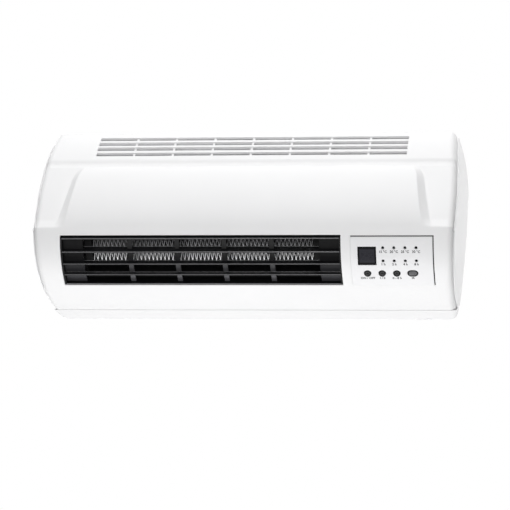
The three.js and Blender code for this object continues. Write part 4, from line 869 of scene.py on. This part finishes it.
def moved_in(ring, inset):
    """A closed outline moved inwards, point by point. What lies along the wall stays there."""
    out = []
    for i, p in enumerate(ring):
        q = moved(p, inward(ring[i - 1], ring[(i + 1) % len(ring)]), inset)
        out.append((q[0] if p[0] > 1e-6 else 0.0, q[1]))
    return out


def rounded(ring, passes):
    """A closed outline with its corners worn down. What lies along the wall stays there."""
    for _ in range(passes):
        worn = []
        for p, a, b in zip(ring, ring[-1:] + ring[:-1], ring[1:] + ring[:1]):
            if p[0] < 1e-6:
                worn.append(p)
            else:
                worn.append(((a[0] + 2 * p[0] + b[0]) / 4, (a[1] + 2 * p[1] + b[1]) / 4))
        ring = worn
    return ring


def cap_ring(bm, side, points, share, x):
    """A line of an end cap: an outline drawn towards the dome's middle, so far along X."""
    out = []
    for p in points:
        d, z = lerp(0.0, p[0], share), lerp(CAP_CENTRE, p[1], share)
        out.append(bm.verts.new(Vector((side * (x - end_draw(z)), -d, z)) * MM))
    return out


CAP_FOOT = HALF + SEAM + CAP_LAND
DOME_SHARES = (0.985, 0.965, 0.94, 0.9, 0.85, 0.79, 0.72, 0.64, 0.55, 0.45, 0.34, 0.22, 0.1)
DOME_ROUNDING = 260  # passes at the dome's middle, fewer towards its edge


def end_cap(side, name, node):
    """A shallow dome on a short straight rim."""
    ring = side_outline(ROLL, CHIN[1])
    bm = bmesh.new()
    rings = [cap_ring(bm, side, ring, 1.0, HALF + SEAM)]
    for k in range(6):
        a = math.radians(18 * k)
        edge = moved_in(ring, CAP_EDGE * (1 - math.cos(a)))
        rings.append(cap_ring(bm, side, edge, 1.0, CAP_FOOT - CAP_EDGE * (1 - math.sin(a))))
    top = moved_in(ring, CAP_EDGE)
    for s in DOME_SHARES:
        line = rounded(top, round(DOME_ROUNDING * (1 - s)))
        rings.append(cap_ring(bm, side, line, s, CAP_FOOT + CAP_BULGE * (1 - s * s)))
    for a, b in zip(rings, rings[1:]):
        skin(bm, a, b)
    tip = bm.verts.new(Vector((side * (CAP_FOOT + CAP_BULGE), 0, CAP_CENTRE)) * MM)
    end = rings[-1]
    for i in range(len(end)):
        bm.faces.new((end[i], end[(i + 1) % len(end)], tip))
    bmesh.ops.remove_doubles(bm, verts=bm.verts, dist=0.01 * MM)
    ob = new_object(name, bm, CASING, sharp=60, centre=Vector((side * (HALF - 20), -50, 0)) * MM)
    thicken(ob, CAP_WALL)
    piece(ob, "casing_white", node)
    cap_spigot(side, name + "_spigot")


def cap_spigot(side, name):
    """What a cap pushes into the shell, and the step that closes the seam round it from behind."""
    bm = bmesh.new()
    rim = (ROLL + WALL + GAP, WALL, HALF - SPIGOT_REACH, CAP_FOOT - 0.8)
    step = (ROLL + SEAM_DEPTH, SEAM_DEPTH, HALF + 0.12, CAP_FOOT - 0.4)
    for inset, rise, start, end in (rim, step):
        line = [p for p in side_outline(inset, CHIN[1] + rise) if p[0] > WALL]
        skin(bm, cap_ring(bm, side, line, 1.0, start), cap_ring(bm, side, line, 1.0, end), False)
    ob = new_object(name, bm, CASING, sharp=60, centre=Vector((side * HALF, -50, 0)) * MM)
    thicken(ob, SPIGOT_WALL)
    piece(ob, "casing_white")


# ---- heating element and grille

def fin_ribbon(name, node, mat, span, seed):
    """A folded ribbon of thin aluminium, with a slight unevenness from fold to fold."""
    low, high = span
    element_front = bulge(0) - ELEMENT_SETBACK
    folds = int((FINS[1] - FINS[0]) / FIN_PITCH * 2)
    pts = []
    for i in range(folds + 1):
        x = lerp(*FINS, i / folds)
        wobble = 0.22 * math.sin(i * 1.7 + seed) + 0.12 * math.sin(i * 0.53 + 2 * seed)
        y = high - 0.1 - abs(wobble) * 0.5 if i % 2 else low + 0.1 + abs(wobble) * 0.5
        pts.append((x + wobble * 0.5, y, wobble * 0.6))
    bm = bmesh.new()
    for a, b in zip(pts, pts[1:]):
        dx, dy = b[0] - a[0], b[1] - a[1]
        size = math.hypot(dx, dy)
        nx, ny = -dy / size * FIN_THICKNESS / 2, dx / size * FIN_THICKNESS / 2
        corners = [(x + nx * s, y + ny * s, w) for (x, y, w), s in ((a, 1), (b, 1), (b, -1), (a, -1))]
        ends = (element_front - FIN_FRONT, element_front - FIN_BACK)
        loft(bm, [[bm.verts.new(on_face(x, out + w, y)) for x, y, w in corners] for out in ends])
    piece(new_object(name, bm, mat), "fin_aluminium", node)


def outlet_grille():
    """The frame, its closed ends and its four upright ribs."""
    left, right = OUTLET[0] + GAP, OUTLET[1] - GAP
    low, high = GAP - FACE_HEIGHT / 2, FACE_HEIGHT / 2 - GAP
    bm = bmesh.new()
    face_slab(bm, left, right, high - RIM, high, GRILLE_BACK, TOP_RIM_INSET, 1)
    face_slab(bm, left, right, low, low + RIM, GRILLE_BACK, BOTTOM_RIM_INSET, 1)
    face_slab(bm, left, left + RIM, low + RIM, high - RIM, GRILLE_BACK, SIDE_RIM_INSET)
    face_slab(bm, right - RIM, right, low + RIM, high - RIM, GRILLE_BACK, SIDE_RIM_INSET)
    edged_piece("grille", bm, GRILLE, "grille_black", "outlet_grille")
    low, high = low + RIM / 2, high - RIM / 2
    bm = bmesh.new()
    face_slab(bm, left + RIM, left + BLANK_WIDTH, low, high, BLANK_BACK, BLANK_INSET)
    face_slab(bm, right - BLANK_WIDTH, right - RIM, low, high, BLANK_BACK, BLANK_INSET)
    edged_piece("grille_blanks", bm, BLANK, "grille_black")
    bm = bmesh.new()
    bay = (right - left - 2 * BLANK_WIDTH) / (RIB_COUNT + 1)
    for i in range(1, RIB_COUNT + 1):
        x = left + BLANK_WIDTH + bay * i
        face_slab(bm, x - RIB_WIDTH / 2, x + RIB_WIDTH / 2, low, high, RIB_BACK, BLANK_INSET)
    edged_piece("grille_ribs", bm, GRILLE_RIB, "grille_black")


def slat_ups():
    return [FACE_HEIGHT / 2 - SLAT_FIRST - SLAT_PITCH * i for i in range(len(SLAT_DEPTHS))]


def arc(front, up, radius, angles):
    """Points (outward, up) round a nose whose foremost point is given."""
    turns = [math.radians(a) for a in angles]
    return [(front - radius + radius * math.cos(a), up + radius * math.sin(a)) for a in turns]


def slats():
    """Four slats with round noses, a little thinner towards the back."""
    bm = bmesh.new()
    for up, deep in zip(slat_ups(), SLAT_DEPTHS):
        front = bulge(up) - SLAT_INSET
        ring = arc(front, up, SLAT_NOSE, range(-90, 91, 15))
        ring += [(front - deep, up + SLAT_TAIL), (front - deep, up - SLAT_TAIL)]
        face_prism(bm, ring, OUTLET[0] + GAP + RIM / 2, OUTLET[1] - GAP - RIM / 2)
    piece(new_object("slats", bm, SLAT, sharp=30), "grille_black")


def painted_slat_glints():
    """Painted highlights: pale strips along each slat's nose and rear edge, and along the bottom rim."""
    bm = bmesh.new()
    ends = OUTLET[0] + GAP + RIM, OUTLET[1] - GAP - RIM
    for up, deep in zip(slat_ups(), SLAT_DEPTHS):
        front = bulge(up) - 0.45
        ring = arc(front, up + 0.02, 0.85, range(12, 78, 13))
        ring += [(front - 0.8, up + 0.4), (front - 0.5, up + 0.1)]
        face_prism(bm, ring, *ends)
        rear = front - deep + 0.6
        ring = [(rear - 0.35, up + 0.5), (rear + 0.35, up + 0.5)]
        ring += [(rear + 0.2, up + 0.85), (rear - 0.2, up + 0.85)]
        face_prism(bm, ring, *ends)
    up = GAP - FACE_HEIGHT / 2 + RIM
    front = bulge(up) - 0.85
    back = front - 0.7
    ring = [(back, up - 0.4), (front, up - 0.4), (front, up + 0.05)]
    ring += [(front - 0.2, up + 0.15), (back, up + 0.15)]
    face_prism(bm, ring, *ends)
    piece(new_object("painted_slat_glints", bm, PAINTED_GLINT, sharp=40), "grille_black")


# ---- controls

DISPLAY = (PLATE[0] + DISPLAY_X, DISPLAY_UP)
BUTTONS = [PLATE[0] + BUTTON_X + BUTTON_PITCH * i for i in range(BUTTON_COUNT)]
BUTTON_BODIES = ("first_button", "second_button", "third_button")
RECEIVER = PLATE[0] + RECEIVER_X
LEDS = [(PLATE[0] + LED_X + LED_PITCH * i, up) for up in LED_UPS for i in range(LED_COLUMNS)]


def round_cap(name, mat, slot, x, up, half, rings, *nodes, body="heater", steps=40):
    """A round or oval part that stands out of the face: rings of (radius, outward) from the back."""
    bm = bmesh.new()
    lines = []
    for r, out in rings:
        line = []
        for k in range(steps):
            a = math.tau * (k + 0.5) / steps
            shift = math.copysign(half, math.cos(a))
            line.append(bm.verts.new(on_face(x + shift + r * math.cos(a), out, up + r * math.sin(a))))
        lines.append(line)
    loft(bm, lines)
    piece(new_object(name, bm, mat, sharp=35), slot, *nodes, body=body)


def rounded_edge(radius, out, edge, steps=4):
    """Rings that turn a straight side into a flat front with a round edge."""
    rings = []
    for k in range(steps + 1):
        a = math.radians(90 * k / steps)
        rings.append((radius - edge * (1 - math.cos(a)), out - edge * (1 - math.sin(a))))
    return rings


def buttons():
    """Three caps on flanges and stems, each with a dished face inside its rim."""
    at = bulge(BUTTON_UP)
    back = at - PLATE_THICKNESS - FLANGE_GAP
    stem = [(STEM_RADIUS, STEM_END), (STEM_RADIUS, back - FLANGE)]
    flange = [(FLANGE_RADIUS, back - FLANGE), (FLANGE_RADIUS, back), (BUTTON_RADIUS, back)]
    rim = rounded_edge(BUTTON_RADIUS, at + BUTTON_PROUD, 0.45)
    rim += [(2.6, at + 0.78), (2.35, at + 0.5), (2.3, at + 0.2)]
    dish, dish_depth = 2.1, 0.55
    face = [(2.25, at - 0.2), (2.25, at + 0.45), (dish, at + 0.5)]
    face += [(r, at + 0.5 - dish_depth * (1 - (r / dish) ** 2)) for r in (1.8, 1.5, 1.2, 0.9, 0.6, 0.3)]
    rings = stem + flange + rim
    for i, (x, body) in enumerate(zip(BUTTONS, BUTTON_BODIES), 1):
        round_cap(f"button_rim_{i}", BUTTON, "button_grey", x, BUTTON_UP, 0, rings, f"button_{i}", body=body)
        round_cap(f"button_face_{i}", BUTTON_FACE, "button_grey", x, BUTTON_UP, 0, face, body=body)


def receiver():
    at = bulge(BUTTON_UP)
    half = 1.75  # of the straight part between its round ends
    rings = [(3.8, at - 2.6)] + rounded_edge(3.8, at + 0.2, 0.4)
    rings += [(2.75, at + 0.18), (2.6, at - 0.1)]
    round_cap("receiver_rim", BUTTON, "smoked_window", RECEIVER, BUTTON_UP, half, rings, "receiver_window")
    face = [(2.5, at - 0.2)] + rounded_edge(2.5, at + 0.1, 0.2) + [(1.4, at + 0.16)]
    round_cap("receiver_lens", RECEIVER_FACE, "smoked_window", RECEIVER, BUTTON_UP, half, face)


def indicators():
    for i, (x, up) in enumerate(LEDS, 1):
        at = bulge(up) - LED_INSET
        rings = [(1.35, at - 5.0), (1.35, at - 0.35), (1.25, at - 0.1)]
        rings += [(0.95, at + 0.1), (0.5, at + 0.2)]
        round_cap(f"indicator_lens_{i}", LENS, "smoked_window", x, up, 0, rings, f"indicator_{i}", steps=24)


def display():
    """A dark pane, the panel that shows through it and two unlit figures."""
    x, up = DISPLAY
    wide, tall = PANE_SIZE
    bm = bmesh.new()
    face_slab(bm, x - wide, x + wide, up - tall, up + tall, 1.8, 0.35)
    edged_piece("display_pane", bm, WINDOW, "smoked_window", "display_window", edge=0.3, segments=3, sharp=30)
    wide, below, above = PANEL_SIZE
    bm = bmesh.new()
    face_slab(bm, x - wide, x + wide, up - below, up + above, 0.6, 0.32)
    edged_piece("display_panel", bm, PANEL, "smoked_window", edge=0.02, segments=1, sharp=30)
    bm = bmesh.new()
    for centre in (x - DIGIT_X, x + DIGIT_X):
        digit(bm, centre, up, *DIGIT_SIZE)
    piece(new_object("display_digits", bm, SEGMENT), "smoked_window")


def digit(bm, x, up, wide, tall, thick):
    """The seven unlit bars of one figure."""
    back, front = 0.45, 0.28
    for v in (-tall, 0, tall):
        face_slab(bm, x - wide + thick, x + wide - thick,
                  up + v - thick / 2, up + v + thick / 2, back, front, 1)
    for side in (-1, 1):
        for low in (-tall, 0):
            face_slab(bm, x + side * wide - thick / 2, x + side * wide + thick / 2,
                      up + low + thick, up + low + tall - thick, back, front, 1)


def control_plate():
    """The plate, with a slightly wider gap along its upper and right edges."""
    bm = node_mesh("control_plate")
    left, right = (PLATE[0] + GAP) * MM, (PLATE[1] - GAP) * MM
    high = FACE_HEIGHT / 2 - GAP
    up_face = Vector((0, -UP[0], UP[1]))
    for v in bm.verts:
        d, z = -v.co.y / MM - FACE_MID[0], v.co.z / MM - FACE_MID[1]
        up = d * UP[0] + z * UP[1]
        if abs(v.co.x - right) < 0.02 * MM:
            v.co.x -= PLATE_TRIM_RIGHT * MM
        if abs(v.co.x - left) < 0.02 * MM:
            v.co.x -= PLATE_SHIFT * MM
        if abs(up - high) < 0.1:
            v.co -= up_face * PLATE_TRIM_TOP * MM
        if abs(up + high) < 0.1:
            v.co -= up_face * PLATE_SHIFT * MM
    bmesh.ops.dissolve_limit(bm, angle_limit=math.radians(1.0), verts=bm.verts, edges=bm.edges)
    edged_piece("plate", bm, PLATE_MAT, "plate_white", "control_plate", edge=0.22)


def plate_gap_shade():
    """The dark rubber strip in the gap along the plate's upper and right edges, put there as painted shade
    for the gap.
    """
    high, edge = FACE_HEIGHT / 2, PLATE[1]
    back, front = 2.1, 0.4
    bm = bmesh.new()
    face_slab(bm, PLATE[0] + 0.3, edge - 0.1, high - 1.2, high - 0.08, back, front, 1)
    face_slab(bm, edge - 1.15, edge - 0.08, GAP - high, high - 1.25, back, front)
    piece(new_object("plate_gap_shade", bm, RUBBER), "black_rubber")


def add_mark(bm, x, up, text):
    """Adds a few letters that lie on the plate, as a thin mesh."""
    letters = bpy.data.curves.new("mark", "FONT")
    letters.body = text
    letters.size = MARK_SIZE
    letters.align_x = "CENTER"
    letters.align_y = "CENTER"
    letters.extrude = MARK_THICKNESS
    letters.offset = MARK_BOLD
    letters.resolution_u = 3
    ob = linked("mark", letters)
    bpy.context.view_layer.update()
    made = ob.to_mesh()
    base = len(bm.verts)
    for v in made.vertices:
        height = bulge(up + v.co.y) + MARK_THICKNESS + v.co.z
        bm.verts.new(on_face(x + v.co.x, height, up + v.co.y))
    bm.verts.ensure_lookup_table()
    for p in made.polygons:
        bm.faces.new([bm.verts[base + k] for k in p.vertices])
    ob.to_mesh_clear()
    bpy.data.objects.remove(ob)


def plate_marks():
    """Small plain marks: degrees, hours and switch positions."""
    bm = bmesh.new()
    for (x, up), text in zip(LEDS, LED_MARKS):
        add_mark(bm, x, up - LED_MARK_DROP, text)
    for x, text in zip([*BUTTONS, RECEIVER], BUTTON_MARKS):
        add_mark(bm, x, BUTTON_UP - BUTTON_MARK_DROP, text)
    piece(new_object("plate_marks", bm, INK), "component_black")


# ---- scene

def photo_camera():
    az, el, roll = (math.radians(a) for a in (CAMERA_AZIMUTH, CAMERA_ELEVATION, CAMERA_ROLL))
    back = Vector((math.sin(az) * math.cos(el), -math.cos(az) * math.cos(el), math.sin(el)))
    right = (-back).cross(Vector((0, 0, 1))).normalized()
    up = right.cross(-back)
    rolled_right = right * math.cos(roll) + up * math.sin(roll)
    rolled_up = up * math.cos(roll) - right * math.sin(roll)
    cam = bpy.data.cameras.new("camera")
    cam.lens = FOCAL_SHARE * cam.sensor_width
    cam.clip_start, cam.clip_end = 0.1, 50
    place = Matrix((rolled_right, rolled_up, back)).transposed().to_4x4()
    place.translation = CAMERA_TARGET + back * CAMERA_DISTANCE
    ob = linked("camera", cam)
    ob.matrix_world = place
    bpy.context.scene.camera = ob


def area_light(name, place, size, power):
    light = bpy.data.lights.new(name, "AREA")
    light.shape = "RECTANGLE"
    light.size, light.size_y = size
    light.energy = power
    ob = linked(name, light)
    ob.location = place
    ob.rotation_mode = "QUATERNION"
    ob.rotation_quaternion = (Vector(LAMP_AIM) - Vector(place)).to_track_quat("-Z", "Y")
    ob.visible_camera = False


def seen_plainly(nt):
    """1 for camera, glossy and transmission rays, else 0."""
    path = nt.nodes.new("ShaderNodeLightPath")
    total = path.outputs["Is Camera Ray"]
    for name in ("Is Glossy Ray", "Is Transmission Ray"):
        total = math_node(nt, "MAXIMUM", total, path.outputs[name])
    return total


def floor():
    """A pale floor that keeps a soft shadow, and turns into the plain white around it further out."""
    bm = bmesh.new()
    bmesh.ops.create_circle(bm, cap_ends=True, segments=96, radius=FLOOR_RADIUS)
    bmesh.ops.translate(bm, verts=bm.verts, vec=(0, 0, FLOOR))
    mat = bpy.data.materials.new("floor white")
    mat.use_nodes = True
    nt = mat.node_tree
    bsdf = fill(nt, nt.nodes["Principled BSDF"], {"Base Color": (0.9, 0.9, 0.9, 1), "Roughness": 0.9})
    glow = nt.nodes.new("ShaderNodeEmission")
    coord = nt.nodes.new("ShaderNodeTexCoord").outputs["Object"]
    length = new_node(nt, "VectorMath", {0: coord}, operation="LENGTH").outputs["Value"]
    share = math_node(nt, "MULTIPLY", seen_plainly(nt), ranged(nt, length, 0.7, 1.0, 2.6, 5.0))
    mix = new_node(nt, "MixShader", {"Fac": share, 1: bsdf.outputs["BSDF"], 2: glow.outputs["Emission"]})
    nt.links.new(mix.outputs["Shader"], nt.nodes["Material Output"].inputs["Surface"])
    new_object("floor", bm, mat)


def studio():
    """Soft lamps in a dim white room that still looks white to the camera."""
    world = bpy.data.worlds.new("studio")
    bpy.context.scene.world = world
    world.use_nodes = True
    nt = world.node_tree
    strength = ranged(nt, seen_plainly(nt), WORLD_LIGHT, 1.0, 0.0, 1.0)
    fill(nt, nt.nodes["Background"], {"Color": (1, 1, 1, 1), "Strength": strength})
    for lamp in LAMPS:
        area_light(*lamp)
    bpy.context.scene.view_settings.view_transform = "Standard"
    bpy.context.scene.view_settings.look = "None"


photo_camera()
dress_solids()
front_shell()
inlet_ribs()
seam_tongue()
end_cap(-1, "cap_left", "left_end_cap")
end_cap(1, "cap_right", "right_end_cap")
outlet_grille()
slats()
painted_slat_glints()
fin_ribbon("fins_upper", "fin_pack_upper", PAINTED_SHADE_FIN, UPPER_FINS, 0.4)
fin_ribbon("fins_lower", "fin_pack_lower", ALUMINIUM, LOWER_FINS, 2.1)
rear_housing()
control_plate()
plate_gap_shade()
display()
indicators()
buttons()
receiver()
plate_marks()
floor()
studio()
